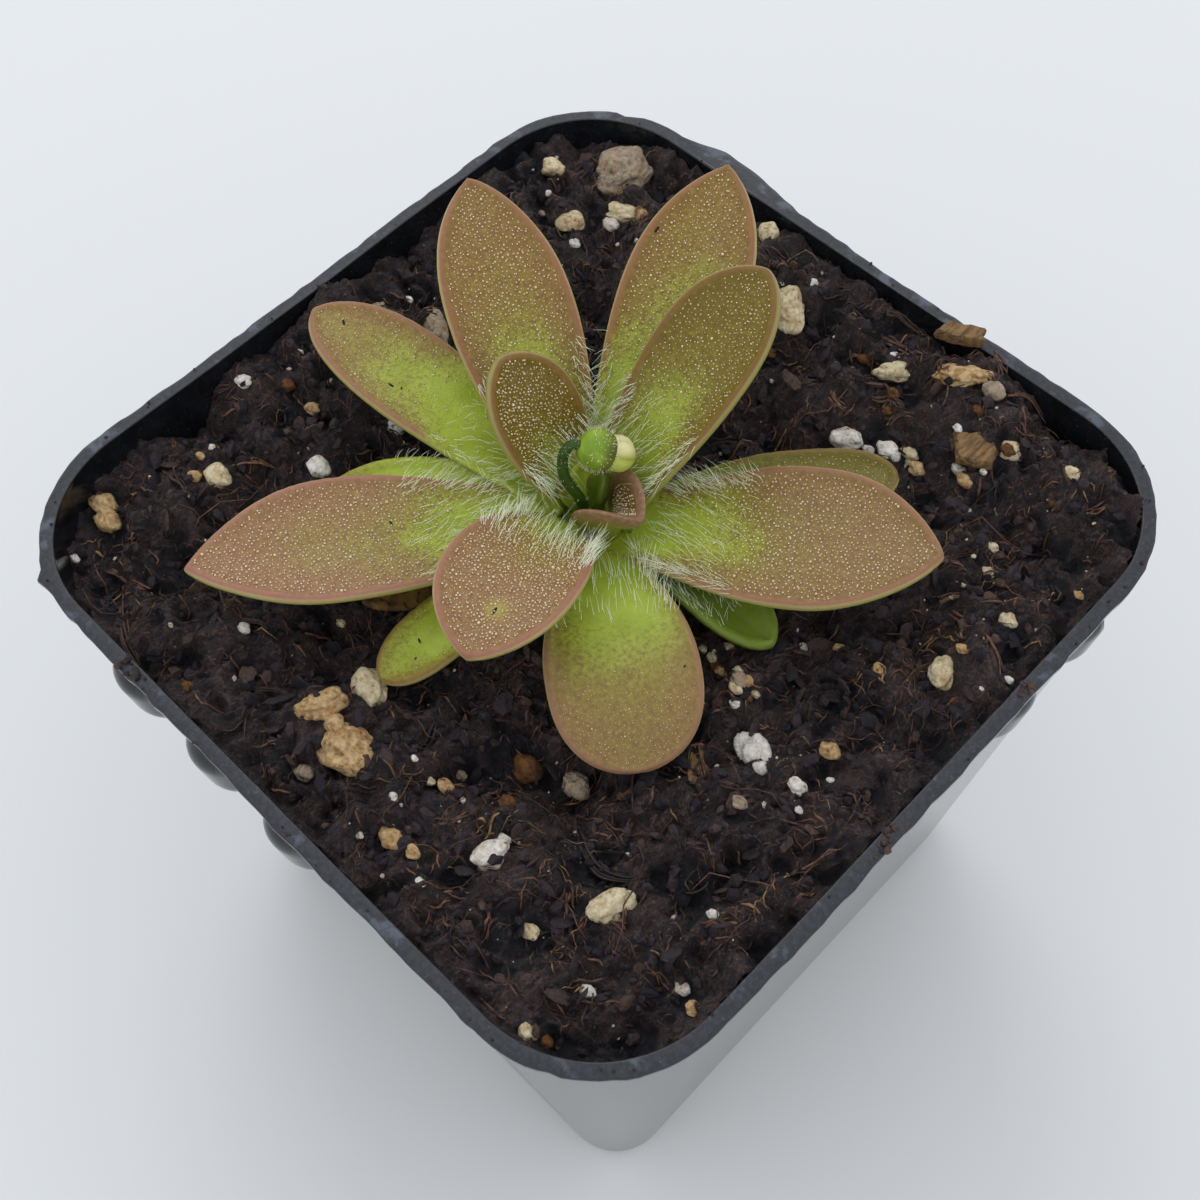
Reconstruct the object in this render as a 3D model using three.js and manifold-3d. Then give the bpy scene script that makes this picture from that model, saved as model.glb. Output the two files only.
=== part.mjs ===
// Potted butterwort in a square nursery pot.
// Millimetres, +Z up, origin at the centre of the pot's foot on the surface it stands on.
import * as THREE from 'three';
import { mergeVertices } from 'three/addons/utils/BufferGeometryUtils.js';
import Module from 'manifold-3d';

const wasm = await Module();
wasm.setup();

// Pot: 3.5 inch square nursery pot
const POT_HEIGHT = 86;
const RIM_HALF = 44.5;
const LIP_OVERHANG = 0.7;
const LIP_THICKNESS = 1.2;
const LIP_CHAMFER = 0.35;
const FOOT_HALF = 35.5;
const FOOT_ROUND = 2.5;
const WALL = 0.9;
const RIM_CORNER = 15.4;
const FOOT_CORNER = 7;
const RECESS_HALF = 24;
const RECESS_DEPTH = 1.5;
const RECESS_SLOPE = 0.5;
const DRAIN_RADIUS = 3.6;
const DRAIN_SPREAD = 15;
const CORNER_STEPS = 6;

// Stacking lugs under the lip: their places along the sides +X, +Y, -X and -Y
const LUG_RADIUS = 4;
const LUG_PLACES = [[16, 28], [-23.2, -11.2, 0.8], [16, 28], [-23.2, -11.2, 0.8]];
const LUG_TOP = 4;
const LUG_BOTTOM = 16;
const LUG_STANDS = [1.1, 1.9, 1.1, 1.9];
const LUG_SIDES = 8;

// Soil
const SOIL_LEVEL = 80;
const SOIL_STEP = 2.8;
const COARSE_LUMP = { size: 7.5, height: 1.5 };
const FINE_LUMP = { size: 3.2, height: 1.1 };
const BED_DROP = 0.6;
const BED_RISE = 4.3;
const BED_TILT = 0.5;
const DISH_FROM = 0.45;
const DISH_TO = 0.92;
const PRESS_CLEARANCE = 1.4;
const PRESS_MARGIN = 1;
const PRESS_SLOPE = 0.8;

// Clearance between pieces that touch, and the size of slivers that a cut may leave
const GAP = 0.3;
const SLIVER = 0.03;

// Sides of the crown and the calyx
const ROUND_SIDES = 10;

// Crown: the short stem under the rosette
const CROWN = new THREE.Vector3(-1, 0.5, SOIL_LEVEL);
const CROWN_RADIUS = 3;
const CROWN_TOP = 4.5;
const CROWN_DEPTH = 7;
const CROWN_TAIL = 1.6;
const ROOT_COUNT = 7;
const ROOT_RADIUS = 0.8;
const ROOT_TIP_SHARE = 0.45;
const ROOT_REACH = { least: 9, more: 9 };
const ROOT_DEPTH = { least: 18, more: 16 };
const ROOT_STATIONS = 7;
const ROOT_SIDES = 6;

// Blade thickness at the middle and at the margin
const BLADE_MIDDLE = 1.8;
const BLADE_MARGIN = 1.2;
const MARGIN_LIFT = 0.35;
const BLADE_POINTS = 7;
const BLADE_STATIONS = 12;
const YOUNG_STATIONS = 8;
const YOUNG_REACH = 10;
const LAST_STATION = 0.985;
const STATION_CROWDING = 1.3;
const MIDRIB_PULL = 0.38;
const MIDRIB_HOOK = 0.6;
const MARGIN_SWELL = 1.6;
// A section leans its thickness towards the cup in full only where it is at least this wide
const FULL_LEAN_HALF = 2;

// Leaves, from the heart of the rosette outwards. Lengths in mm, angles in degrees.
// azimuth and reach place the tip about the crown, tip and base are heights above the soil level,
// rise and level are the slopes at the base and at the tip, sweep turns the base sideways,
// neck is the base's share of the width, widest where along the blade it is broadest,
// point and blunt shape the tip, cup is how far the margins stand up.
const LEAVES = {
  young_leaf_1: { azimuth: 70, reach: 2.2, tip: 9.5, base: 5, rise: 75, level: 50, seat: 1,
    width: 2.8, neck: 0.7, widest: 0.5, point: 2.2, blunt: 1.6, cup: 0.3, thick: 0.8 },
  young_leaf_2: { azimuth: 195, reach: 4, tip: 7, base: 4, rise: 75, level: 50, seat: 2,
    width: 3, neck: 0.7, widest: 0.5, point: 2.2, blunt: 1.6, cup: 0.3, thick: 0.8 },
  young_leaf_3: { azimuth: 143, reach: 4.5, tip: 7, base: 4, rise: 75, level: 50, seat: 2,
    width: 3.2, neck: 0.7, widest: 0.6, point: 2.6, blunt: 1.9, cup: 0.4, thick: 0.8 },
  young_leaf_4: { azimuth: 4, reach: 7, tip: 8.5, base: 3, rise: 80, level: 0, seat: 3,
    width: 7, neck: 0.6, widest: 0.55, point: 2.2, blunt: 1.2, cup: 1, thick: 0.8 },
  leaf_04: { azimuth: 180, reach: 12, tip: 19, base: 5, rise: 65, level: 55,
    width: 10, neck: 0.6, widest: 0.55, point: 2.4, blunt: 1.7, cup: 0.3 },
  leaf_03: { azimuth: 84.5, reach: 23.5, tip: 23, base: 4, rise: 60, level: 35, sweep: -10,
    width: 11.5, neck: 0.65, widest: 0.6, point: 2.6, blunt: 1.6, cup: 0.3 },
  leaf_08: { azimuth: 287, reach: 24, tip: 12, base: 4, rise: 50, level: -10, sweep: -6,
    width: 13.5, neck: 0.5, widest: 0.58, point: 2.4, blunt: 1.35, cup: 0.2 },
  leaf_01: { azimuth: 156, reach: 34, tip: 19, base: 3, rise: 50, level: 15, sweep: 8,
    width: 13, neck: 0.55, widest: 0.55, point: 2.2, blunt: 1.25, cup: 0.25 },
  leaf_02: { azimuth: 110, reach: 36, tip: 19, base: 3, rise: 50, level: 15, sweep: -10,
    width: 13, neck: 0.55, widest: 0.58, point: 2.2, blunt: 1.2, cup: 0.25 },
  leaf_11: { azimuth: 28, reach: 35.5, tip: 10, base: 2, rise: 20, level: 8, sweep: -4,
    width: 16.5, neck: 0.5, widest: 0.6, point: 2.1, blunt: 1.25, cup: 0.2 },
  leaf_10: { azimuth: 323.5, reach: 28.5, tip: 2, base: 2, rise: 20, level: -40,
    width: 15, neck: 0.45, widest: 0.64, point: 2.6, blunt: 1.9, cup: 0.1 },
  leaf_05: { azimuth: 187, reach: 37.5, tip: 9, base: 2, rise: 20, level: 5,
    width: 11, neck: 0.55, widest: 0.6, point: 2.4, blunt: 1.6, cup: 0.2 },
  leaf_07: { azimuth: 238.5, reach: 40.5, tip: 9.5, base: 2, rise: 20, level: 5,
    width: 14.5, neck: 0.55, widest: 0.58, point: 2, blunt: 1.2, cup: 0.2 },
  leaf_12: { azimuth: 50.5, reach: 32, tip: 4, base: 1, rise: 15, level: 5,
    width: 9, neck: 0.5, widest: 0.6, point: 2.6, blunt: 1.9, cup: 0.2 },
  leaf_13: { azimuth: 4.5, reach: 23.5, tip: 2, base: 1, rise: 10, level: -5, sweep: 8,
    width: 7, neck: 0.5, widest: 0.65, point: 2.2, blunt: 1.6, cup: 0.4 },
  leaf_06: { azimuth: 220, reach: 29, tip: 2, base: 1, rise: 25, level: -20,
    width: 9.5, neck: 0.55, widest: 0.5, point: 2.4, blunt: 1.6, cup: 0.2 },
  leaf_09: { azimuth: 266, reach: 27.5, tip: 2, base: 1, rise: 10, level: -10,
    width: 7, neck: 0.5, widest: 0.68, point: 2.6, blunt: 1.9, cup: 0.1 },
};
const LEAF_SEAT = 3.6;
const WITHERED_LEAF = { azimuth: 246, reach: 25, tip: 1.5, base: 0.5, rise: 12, level: -4,
  width: 6, neck: 0.5, widest: 0.55, point: 2.2, blunt: 1.6, cup: -0.25, thick: 0.6 };
// These leaves lie so low that the soil is pressed down under them
const LOW_LEAVES = ['leaf_06', 'leaf_09', 'leaf_10', 'leaf_12', 'leaf_13'];

// Flower: hooked stalk, then the nodding bud along its own axis
const STALK_RADIUS = 0.6;
const STALK_TIP_SHARE = 0.85;
const STALK_STATIONS = 12;
const STALK_SIDES = 8;
const STALK_ROUTE = [[-0.9, -0.5, 84.9], [-1, -0.9, 88], [-2.4, -1.4, 90.8], [-3.1, -0.8, 93.2],
  [-2.9, 0.1, 94.3], [-2.2, 0.8, 94.3]];
const BUD_FROM = new THREE.Vector3(-2.4, 0.6, 94.3);
const BUD_TOWARDS = new THREE.Vector3(1.9, 5.2, 91.3);
const CALYX_LENGTH = 4.4;
const CALYX_RADIUS = 2.1;
const PETAL_COUNT = 5;
const PETAL_RADIUS = 1.15;
const PETAL_SPREAD = 0.75;
const PETAL_AT = 4.3;
const PETAL_STRETCH = 1.5;
const CALYX_STEPS = 6;
const CALYX_OPENS = 140;

// Pumice and perlite: place on the soil, half sizes along and across and upwards, turn in degrees
const STONES = [
  { at: [-4.8, -32.8], half: [2.6, 1.7, 1.6], turn: 60, tone: 'tan' },
  { at: [-0.1, -34.3], half: [3.1, 2.4, 1.9], turn: 20, tone: 'tan' },
  { at: [-3.7, -28], half: [2.2, 1.7, 1.4], turn: 140, tone: 'cream' },
  { at: [-32.5, 37.2], half: [4, 3.2, 2.4], turn: 70, tone: 'grey' },
  { at: [-38.2, 31.9], half: [1.4, 1.2, 1.3], turn: 10, tone: 'cream' },
  { at: [-28.2, 33.3], half: [2, 1.2, 1.1], turn: 30, tone: 'cream' },
  { at: [-31.8, 6.8], half: [3.2, 1.5, 1.2], turn: 155, tone: 'grey' },
  { at: [-3.8, 34.7], half: [3.6, 1.7, 1.5], turn: 134, tone: 'cream' },
  { at: [11.1, 27.2], half: [1.8, 1.5, 1.3], turn: 30, tone: 'white' },
  { at: [16.4, 38.9], half: [3.2, 1.3, 1.2], turn: 38, tone: 'tan' },
  { at: [36.4, 10.9], half: [1.9, 1.4, 1.2], turn: 120, tone: 'cream' },
  { at: [28.4, -6.6], half: [2.3, 1.5, 1.3], turn: 160, tone: 'white' },
  { at: [18, -32], half: [1.8, 1.4, 1.2], turn: 70, tone: 'white' },
  { at: [29.2, -27.4], half: [2.3, 1.4, 1.3], turn: 75, tone: 'cream' },
  { at: [-12.2, 40.7], half: [1.5, 1.3, 1.2], turn: 130, tone: 'cream' },
  { at: [10.2, 36.4], half: [2.4, 1.1, 1], turn: 45, tone: 'cream' },
  { at: [-31.7, 28.3], half: [1.6, 1.5, 1.2], turn: 60, tone: 'cream' },
];

const STONE_ROUGHNESS = 0.22;
const STONE_STANDS = 0.25;
const CHIP_SINKS = 0.35;

// Bark and wood chips: centre, length, width, thickness, turn in degrees
const CHIPS = [
  { at: [13.4, 42.3], size: [5.4, 2, 1.5], turn: 30, onLip: true },
  { at: [22.9, 33.5], size: [4.6, 4.4, 1.3], turn: 134 },
  { at: [25.4, -12.4], size: [4.6, 1.3, 0.9], turn: -50 },
];

const COLOURS = {
  pot: '#1b1d21', soil: '#2a1c14', crown: '#8da347', root: '#b8a888', blade: '#8a8048',
  young: '#6f8a2c', withered: '#7a5a34', stalk: '#33501c', calyx: '#6f9432', petal: '#dcd8a6',
  tan: '#b08d5c', cream: '#cdbd98', white: '#dcd8cf', grey: '#a39a92', chip: '#6b4a2c',
};

// Solids

function toSolid(geometry) {
  geometry.deleteAttribute('normal');
  geometry.deleteAttribute('uv');
  const merged = mergeVertices(geometry, 1e-4);
  const mesh = new wasm.Mesh({
    numProp: 3,
    vertProperties: new Float32Array(merged.attributes.position.array),
    triVerts: new Uint32Array(merged.index.array),
  });
  return new wasm.Manifold(mesh);
}

// Closed body through rings of points, with a fan to a middle point at each end.
// alternate(k) turns the diagonal of the k-th face round the ring.
function loft(rings, alternate = () => false, endPoints = [null, null]) {
  const around = rings[0].length;
  const points = rings.flat().map((p) => p.toArray());
  const faces = [];
  for (let i = 0; i < rings.length - 1; i += 1) {
    for (let k = 0; k < around; k += 1) {
      const next = (k + 1) % around;
      const a = i * around + k;
      const b = i * around + next;
      const c = (i + 1) * around + next;
      const d = (i + 1) * around + k;
      if (alternate(k)) {
        faces.push(a, b, d, b, c, d);
      } else {
        faces.push(a, b, c, a, c, d);
      }
    }
  }
  [rings[0], rings[rings.length - 1]].forEach((ring, end) => {
    const middle = endPoints[end] ?? ring.reduce((sum, p) => sum.add(p), new THREE.Vector3())
      .divideScalar(around);
    const hub = points.length;
    const first = end === 0 ? 0 : (rings.length - 1) * around;
    points.push(middle.toArray());
    for (let k = 0; k < around; k += 1) {
      const next = (k + 1) % around;
      const pair = end === 0 ? [first + next, first + k] : [first + k, first + next];
      faces.push(...pair, hub);
    }
  });
  const geometry = new THREE.BufferGeometry();
  geometry.setAttribute('position', new THREE.Float32BufferAttribute(points.flat(), 3));
  geometry.setIndex(faces);
  const solid = toSolid(geometry);
  if (solid.volume() > 0) {
    return solid;
  }
  geometry.setIndex(faces.reverse());
  return toSolid(geometry);
}

function largestBody(solid) {
  const bodies = solid.decompose();
  return bodies.reduce((best, body) => (body.volume() > best.volume() ? body : best));
}

function touches(a, b) {
  const one = a.boundingBox();
  const two = b.boundingBox();
  return [0, 1, 2].every((i) => one.min[i] < two.max[i] && two.min[i] < one.max[i]);
}

function cutBy(solid, cutters) {
  let rest = solid;
  for (const cutter of cutters) {
    if (touches(rest, cutter)) {
      rest = rest.subtract(cutter);
    }
  }
  return largestBody(rest.simplify(SLIVER));
}

const rad = THREE.MathUtils.degToRad;

// Repeatable noise: a value for each lattice corner, blended smoothly between corners.
// Each use of it has a layer of its own.
const COARSE_LAYER = 1;
const FINE_LAYER = 2;
const STONE_LAYER = 3;
const ROOT_LAYER = 5;

function latticeValue(i, j, k) {
  const wave = Math.sin(i * 127.1 + j * 311.7 + k * 74.7) * 43758.5453;
  return wave - Math.floor(wave);
}

function smooth(t) {
  return t * t * (3 - 2 * t);
}

function noise(x, y, layer) {
  const i = Math.floor(x);
  const j = Math.floor(y);
  const u = smooth(x - i);
  const v = smooth(y - j);
  const low = THREE.MathUtils.lerp(latticeValue(i, j, layer), latticeValue(i + 1, j, layer), u);
  const high = THREE.MathUtils.lerp(latticeValue(i, j + 1, layer), latticeValue(i + 1, j + 1, layer), u);
  return THREE.MathUtils.lerp(low, high, v) * 2 - 1;
}

// Pot

const LIP_UNDER = POT_HEIGHT - LIP_THICKNESS;
const TOP_HALF = RIM_HALF - LIP_OVERHANG;

function wallHalf(z) {
  return THREE.MathUtils.mapLinear(z, 0, LIP_UNDER, FOOT_HALF, TOP_HALF);
}

function wallCorner(z) {
  return THREE.MathUtils.mapLinear(z, 0, LIP_UNDER, FOOT_CORNER, RIM_CORNER - LIP_OVERHANG);
}

function roundedSquare(half, corner, z) {
  const ring = [];
  for (let quarter = 0; quarter < 4; quarter += 1) {
    const turn = quarter * 90;
    const centre = new THREE.Vector3(half - corner, half - corner, z);
    centre.applyAxisAngle(new THREE.Vector3(0, 0, 1), rad(turn));
    for (let step = 0; step <= CORNER_STEPS; step += 1) {
      const angle = rad(turn + (90 * step) / CORNER_STEPS);
      const x = centre.x + corner * Math.cos(angle);
      const y = centre.y + corner * Math.sin(angle);
      ring.push(new THREE.Vector3(x, y, z));
    }
  }
  return ring;
}

function wallRing(z, inset) {
  return roundedSquare(wallHalf(z) - inset, wallCorner(z) - inset, z);
}

function potOutside() {
  const rings = [
    roundedSquare(RECESS_HALF, FOOT_CORNER, RECESS_DEPTH),
    roundedSquare(RECESS_HALF + RECESS_SLOPE, FOOT_CORNER, 0),
  ];
  for (const angle of [0, 30, 60, 90]) {
    const inset = FOOT_ROUND * (1 - Math.sin(rad(angle)));
    const z = FOOT_ROUND * (1 - Math.cos(rad(angle)));
    rings.push(wallRing(z, inset));
  }
  rings.push(wallRing(LIP_UNDER, 0));
  rings.push(roundedSquare(RIM_HALF, RIM_CORNER, LIP_UNDER));
  rings.push(roundedSquare(RIM_HALF, RIM_CORNER, POT_HEIGHT - LIP_CHAMFER));
  rings.push(roundedSquare(RIM_HALF - LIP_CHAMFER, RIM_CORNER - LIP_CHAMFER, POT_HEIGHT));
  return loft(rings);
}

// The room inside the walls, drawn in by inset
function potInside(inset, top) {
  const floor = RECESS_DEPTH + WALL + inset;
  const low = wallRing(floor, WALL + inset + 1);
  return loft([low, wallRing(floor + 1, WALL + inset), wallRing(top, WALL + inset)]);
}

function lug(side, place) {
  const length = LUG_BOTTOM - LUG_TOP - 2 * LUG_RADIUS;
  const z = POT_HEIGHT - (LUG_TOP + LUG_BOTTOM) / 2;
  const geometry = new THREE.CapsuleGeometry(LUG_RADIUS, length, 2, LUG_SIDES);
  geometry.rotateX(Math.PI / 2);
  geometry.rotateZ(Math.PI / LUG_SIDES);
  geometry.translate(wallHalf(z) - (LUG_RADIUS - LUG_STANDS[side]), place, z);
  geometry.rotateZ(rad(90 * side));
  return toSolid(geometry);
}

function buildPot() {
  let pot = potOutside();
  LUG_PLACES.forEach((places, side) => {
    for (const place of places) {
      pot = pot.add(lug(side, place));
    }
  });
  pot = pot.subtract(potInside(0, POT_HEIGHT + 1));
  for (const [x, y] of [[0, 0], [1, 1], [-1, 1], [-1, -1], [1, -1]]) {
    const drain = new THREE.CylinderGeometry(DRAIN_RADIUS, DRAIN_RADIUS, 4 * WALL, 12);
    drain.rotateX(Math.PI / 2);
    drain.translate(x * DRAIN_SPREAD, y * DRAIN_SPREAD, RECESS_DEPTH + WALL / 2);
    pot = pot.subtract(toSolid(drain));
  }
  return pot;
}

// Leaves

function outwards(azimuth, length, height) {
  return new THREE.Vector3(length * Math.cos(rad(azimuth)), length * Math.sin(rad(azimuth)), height);
}

function heading(azimuth, slope) {
  return outwards(azimuth, Math.cos(rad(slope)), Math.sin(rad(slope)));
}

function midrib(leaf) {
  const sweep = leaf.sweep ?? 0;
  const start = outwards(leaf.azimuth + sweep, leaf.seat ?? LEAF_SEAT, leaf.base).add(CROWN);
  const end = outwards(leaf.azimuth, leaf.reach, leaf.tip).add(CROWN);
  const pull = MIDRIB_PULL * start.distanceTo(end);
  const leaving = heading(leaf.azimuth + sweep, leaf.rise).multiplyScalar(pull);
  const arriving = heading(leaf.azimuth - MIDRIB_HOOK * sweep, leaf.level).multiplyScalar(pull);
  return new THREE.CubicBezierCurve3(start, start.clone().add(leaving), end.clone().sub(arriving), end);
}

function halfWidth(leaf, s) {
  if (s < leaf.widest) {
    const swell = Math.sin((s / leaf.widest) * (Math.PI / 2)) ** MARGIN_SWELL;
    return (leaf.width / 2) * (leaf.neck + (1 - leaf.neck) * swell);
  }
  const along = (s - leaf.widest) / (1 - leaf.widest);
  return (leaf.width / 2) * (1 - along ** leaf.point) ** (1 / leaf.blunt);
}

// One section of a blade: the upper face from margin to margin, then the under face back.
// grow makes the same blade larger all round, as the room that it needs.
function bladeRing(leaf, curve, s, grow) {
  const at = curve.getPointAt(s);
  const along = curve.getTangentAt(s);
  const side = new THREE.Vector3().crossVectors(along, new THREE.Vector3(0, 0, 1)).normalize();
  const face = new THREE.Vector3().crossVectors(side, along);
  const half = halfWidth(leaf, s);
  const upper = [];
  const under = [];
  for (let n = 0; n < BLADE_POINTS; n += 1) {
    const v = -1 + (2 * n) / (BLADE_POINTS - 1);
    const lift = half * leaf.cup * v * v + (Math.abs(v) === 1 ? MARGIN_LIFT : 0);
    const middle = at.clone().addScaledVector(side, (half + grow) * v).addScaledVector(face, lift);
    const lean = 2 * leaf.cup * v * Math.min(1, half / FULL_LEAN_HALF);
    const across = face.clone().addScaledVector(side, -lean).normalize();
    const thick = THREE.MathUtils.lerp(BLADE_MIDDLE, BLADE_MARGIN, v * v) * (leaf.thick ?? 1);
    upper.push(middle.clone().addScaledVector(across, thick / 2 + grow));
    under.unshift(middle.clone().addScaledVector(across, -thick / 2 - grow));
  }
  return upper.concat(under);
}

function blade(leaf, grow = 0) {
  const curve = midrib(leaf);
  const rings = [];
  const stations = leaf.reach < YOUNG_REACH ? YOUNG_STATIONS : BLADE_STATIONS;
  for (let n = 0; n < stations; n += 1) {
    const s = LAST_STATION * (1 - (1 - n / (stations - 1)) ** STATION_CROWDING);
    rings.push(bladeRing(leaf, curve, s, grow));
  }
  const ends = [0, 1].map((end) => {
    const out = curve.getTangentAt(end).multiplyScalar(end === 0 ? -grow : grow);
    return curve.getPointAt(end).add(out);
  });
  rings[0].forEach((p) => p.addScaledVector(curve.getTangentAt(0), -grow));
  return loft(rings, (k) => k >= BLADE_POINTS, ends);
}

// Crown and roots

function crownBody(grow = 0) {
  const profile = [
    [0, -CROWN_DEPTH - grow], [CROWN_TAIL + grow, -CROWN_DEPTH + 0.6 - grow],
    [CROWN_RADIUS + grow, -CROWN_DEPTH / 2], [CROWN_RADIUS + grow, CROWN_TOP - CROWN_TAIL],
    [CROWN_RADIUS * 0.6 + grow, CROWN_TOP - 0.3 + grow], [0, CROWN_TOP + grow],
  ].map(([r, z]) => new THREE.Vector2(r, z));
  const geometry = new THREE.LatheGeometry(profile, ROUND_SIDES);
  geometry.rotateX(Math.PI / 2);
  geometry.translate(CROWN.x, CROWN.y, CROWN.z);
  const solid = toSolid(geometry);
  return solid.volume() > 0 ? solid : toSolid(flipped(geometry));
}

function flipped(geometry) {
  const index = Array.from(geometry.index.array).reverse();
  geometry.setIndex(index);
  return geometry;
}

// Tapered round body along a smooth route
function taperedRod(route, radiusAt, stations, sides) {
  const curve = new THREE.CatmullRomCurve3(route.map((p) => new THREE.Vector3(...p)));
  const frames = curve.computeFrenetFrames(stations - 1, false);
  const rings = [];
  for (let n = 0; n < stations; n += 1) {
    const share = n / (stations - 1);
    const at = curve.getPointAt(share);
    const ring = [];
    for (let k = 0; k < sides; k += 1) {
      const angle = (2 * Math.PI * k) / sides;
      ring.push(at.clone()
        .addScaledVector(frames.normals[n], radiusAt(share) * Math.cos(angle))
        .addScaledVector(frames.binormals[n], radiusAt(share) * Math.sin(angle)));
    }
    rings.push(ring);
  }
  return loft(rings);
}

function root(n, grow) {
  const azimuth = (360 * (n + 0.6 * latticeValue(n, 1, ROOT_LAYER))) / ROOT_COUNT;
  const reach = ROOT_REACH.least + ROOT_REACH.more * latticeValue(n, 2, ROOT_LAYER);
  const depth = ROOT_DEPTH.least + ROOT_DEPTH.more * latticeValue(n, 3, ROOT_LAYER);
  const route = [[0.6, -CROWN_DEPTH + 2.5], [reach * 0.3, -CROWN_DEPTH - depth * 0.18],
    [reach * 0.75, -CROWN_DEPTH - depth * 0.5], [reach, -CROWN_DEPTH - depth]]
    .map(([out, down]) => outwards(azimuth, out, down).add(CROWN).toArray());
  const radiusAt = (share) => ROOT_RADIUS * THREE.MathUtils.lerp(1, ROOT_TIP_SHARE, share) + grow;
  return taperedRod(route, radiusAt, ROOT_STATIONS, ROOT_SIDES);
}

function crownAndRoots(grow = 0) {
  let solid = crownBody(grow);
  for (let n = 0; n < ROOT_COUNT; n += 1) {
    solid = solid.add(root(n, grow));
  }
  return solid;
}

// Flower

function stalk(grow = 0) {
  const radiusAt = (share) => STALK_RADIUS * THREE.MathUtils.lerp(1, STALK_TIP_SHARE, share) + grow;
  return taperedRod(STALK_ROUTE, radiusAt, STALK_STATIONS, STALK_SIDES);
}

const BUD_AXIS = new THREE.Vector3().subVectors(BUD_TOWARDS, BUD_FROM).normalize();

// Turns a body that stands on the origin along +Z to the bud's place and direction
function onBud(geometry) {
  const turn = new THREE.Quaternion().setFromUnitVectors(new THREE.Vector3(0, 0, 1), BUD_AXIS);
  geometry.applyQuaternion(turn);
  geometry.translate(BUD_FROM.x, BUD_FROM.y, BUD_FROM.z);
  return geometry;
}

function petals(grow = 0) {
  const radius = PETAL_RADIUS + grow;
  let solid = null;
  for (let n = 0; n < PETAL_COUNT; n += 1) {
    const geometry = new THREE.SphereGeometry(radius, 8, 5);
    geometry.rotateX(Math.PI / 2);
    geometry.scale(1, 1, PETAL_STRETCH);
    const angle = (2 * Math.PI * n) / PETAL_COUNT;
    geometry.translate(PETAL_SPREAD * Math.cos(angle), PETAL_SPREAD * Math.sin(angle), PETAL_AT);
    const petal = toSolid(onBud(geometry));
    solid = solid ? solid.add(petal) : petal;
  }
  return solid;
}

function calyx() {
  const profile = [];
  for (let n = 0; n <= CALYX_STEPS; n += 1) {
    const angle = rad(CALYX_OPENS * (n / CALYX_STEPS));
    const height = (CALYX_LENGTH / 2) * (1 - Math.cos(angle));
    profile.push(new THREE.Vector2(CALYX_RADIUS * Math.sin(angle), height));
  }
  profile.push(new THREE.Vector2(0, profile[CALYX_STEPS].y));
  const geometry = new THREE.LatheGeometry(profile, ROUND_SIDES);
  geometry.rotateX(Math.PI / 2);
  const solid = toSolid(onBud(geometry));
  return solid.volume() > 0 ? solid : toSolid(flipped(geometry));
}

// Soil

// Height of the bed before anything lies on it: a dish that rises to the walls, most at the right corner
function bedHeight(x, y) {
  const u = x / RIM_HALF;
  const v = y / RIM_HALF;
  const outer = THREE.MathUtils.smoothstep(Math.max(Math.abs(u), Math.abs(v)), DISH_FROM, DISH_TO);
  return SOIL_LEVEL - BED_DROP + outer * (BED_RISE + BED_TILT * (u + v));
}

const PRESSING = LOW_LEAVES.flatMap((name) => {
  const leaf = LEAVES[name];
  const curve = midrib(leaf);
  return [0.2, 0.3, 0.4, 0.5, 0.6, 0.7, 0.8, 0.9, LAST_STATION].map((s) => (
    { at: curve.getPointAt(s), reach: halfWidth(leaf, s) + PRESS_MARGIN }));
});

function soilHeight(x, y) {
  let height = bedHeight(x, y);
  height += COARSE_LUMP.height * noise(x / COARSE_LUMP.size, y / COARSE_LUMP.size, COARSE_LAYER);
  height += FINE_LUMP.height * noise(x / FINE_LUMP.size, y / FINE_LUMP.size, FINE_LAYER);
  for (const press of PRESSING) {
    const beyond = Math.max(0, Math.hypot(x - press.at.x, y - press.at.y) - press.reach);
    height = Math.min(height, press.at.z - PRESS_CLEARANCE + PRESS_SLOPE * beyond);
  }
  return height;
}

function soilBed() {
  const count = Math.round((2 * (RIM_HALF - 1)) / SOIL_STEP);
  const place = (n) => (n - count / 2) * SOIL_STEP;
  const points = [];
  const faces = [];
  for (const layer of [0, 1]) {
    for (let i = 0; i <= count; i += 1) {
      for (let j = 0; j <= count; j += 1) {
        points.push(place(i), place(j), layer === 0 ? 1 : soilHeight(place(i), place(j)));
      }
    }
  }
  const index = (layer, i, j) => layer * (count + 1) ** 2 + i * (count + 1) + j;
  for (let i = 0; i < count; i += 1) {
    for (let j = 0; j < count; j += 1) {
      const top = [index(1, i, j), index(1, i + 1, j), index(1, i + 1, j + 1), index(1, i, j + 1)];
      faces.push(top[0], top[1], top[2], top[0], top[2], top[3]);
      const low = [index(0, i, j), index(0, i + 1, j), index(0, i + 1, j + 1), index(0, i, j + 1)];
      faces.push(low[2], low[1], low[0], low[3], low[2], low[0]);
    }
    const walls = [
      [[i, 0], [i + 1, 0]], [[count, i], [count, i + 1]],
      [[i + 1, count], [i, count]], [[0, i + 1], [0, i]],
    ];
    for (const [from, to] of walls) {
      faces.push(index(0, ...from), index(0, ...to), index(1, ...to));
      faces.push(index(0, ...from), index(1, ...to), index(1, ...from));
    }
  }
  const geometry = new THREE.BufferGeometry();
  geometry.setAttribute('position', new THREE.Float32BufferAttribute(points, 3));
  geometry.setIndex(faces);
  return toSolid(geometry).intersect(potInside(GAP, POT_HEIGHT));
}

// Stones and chips

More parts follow.
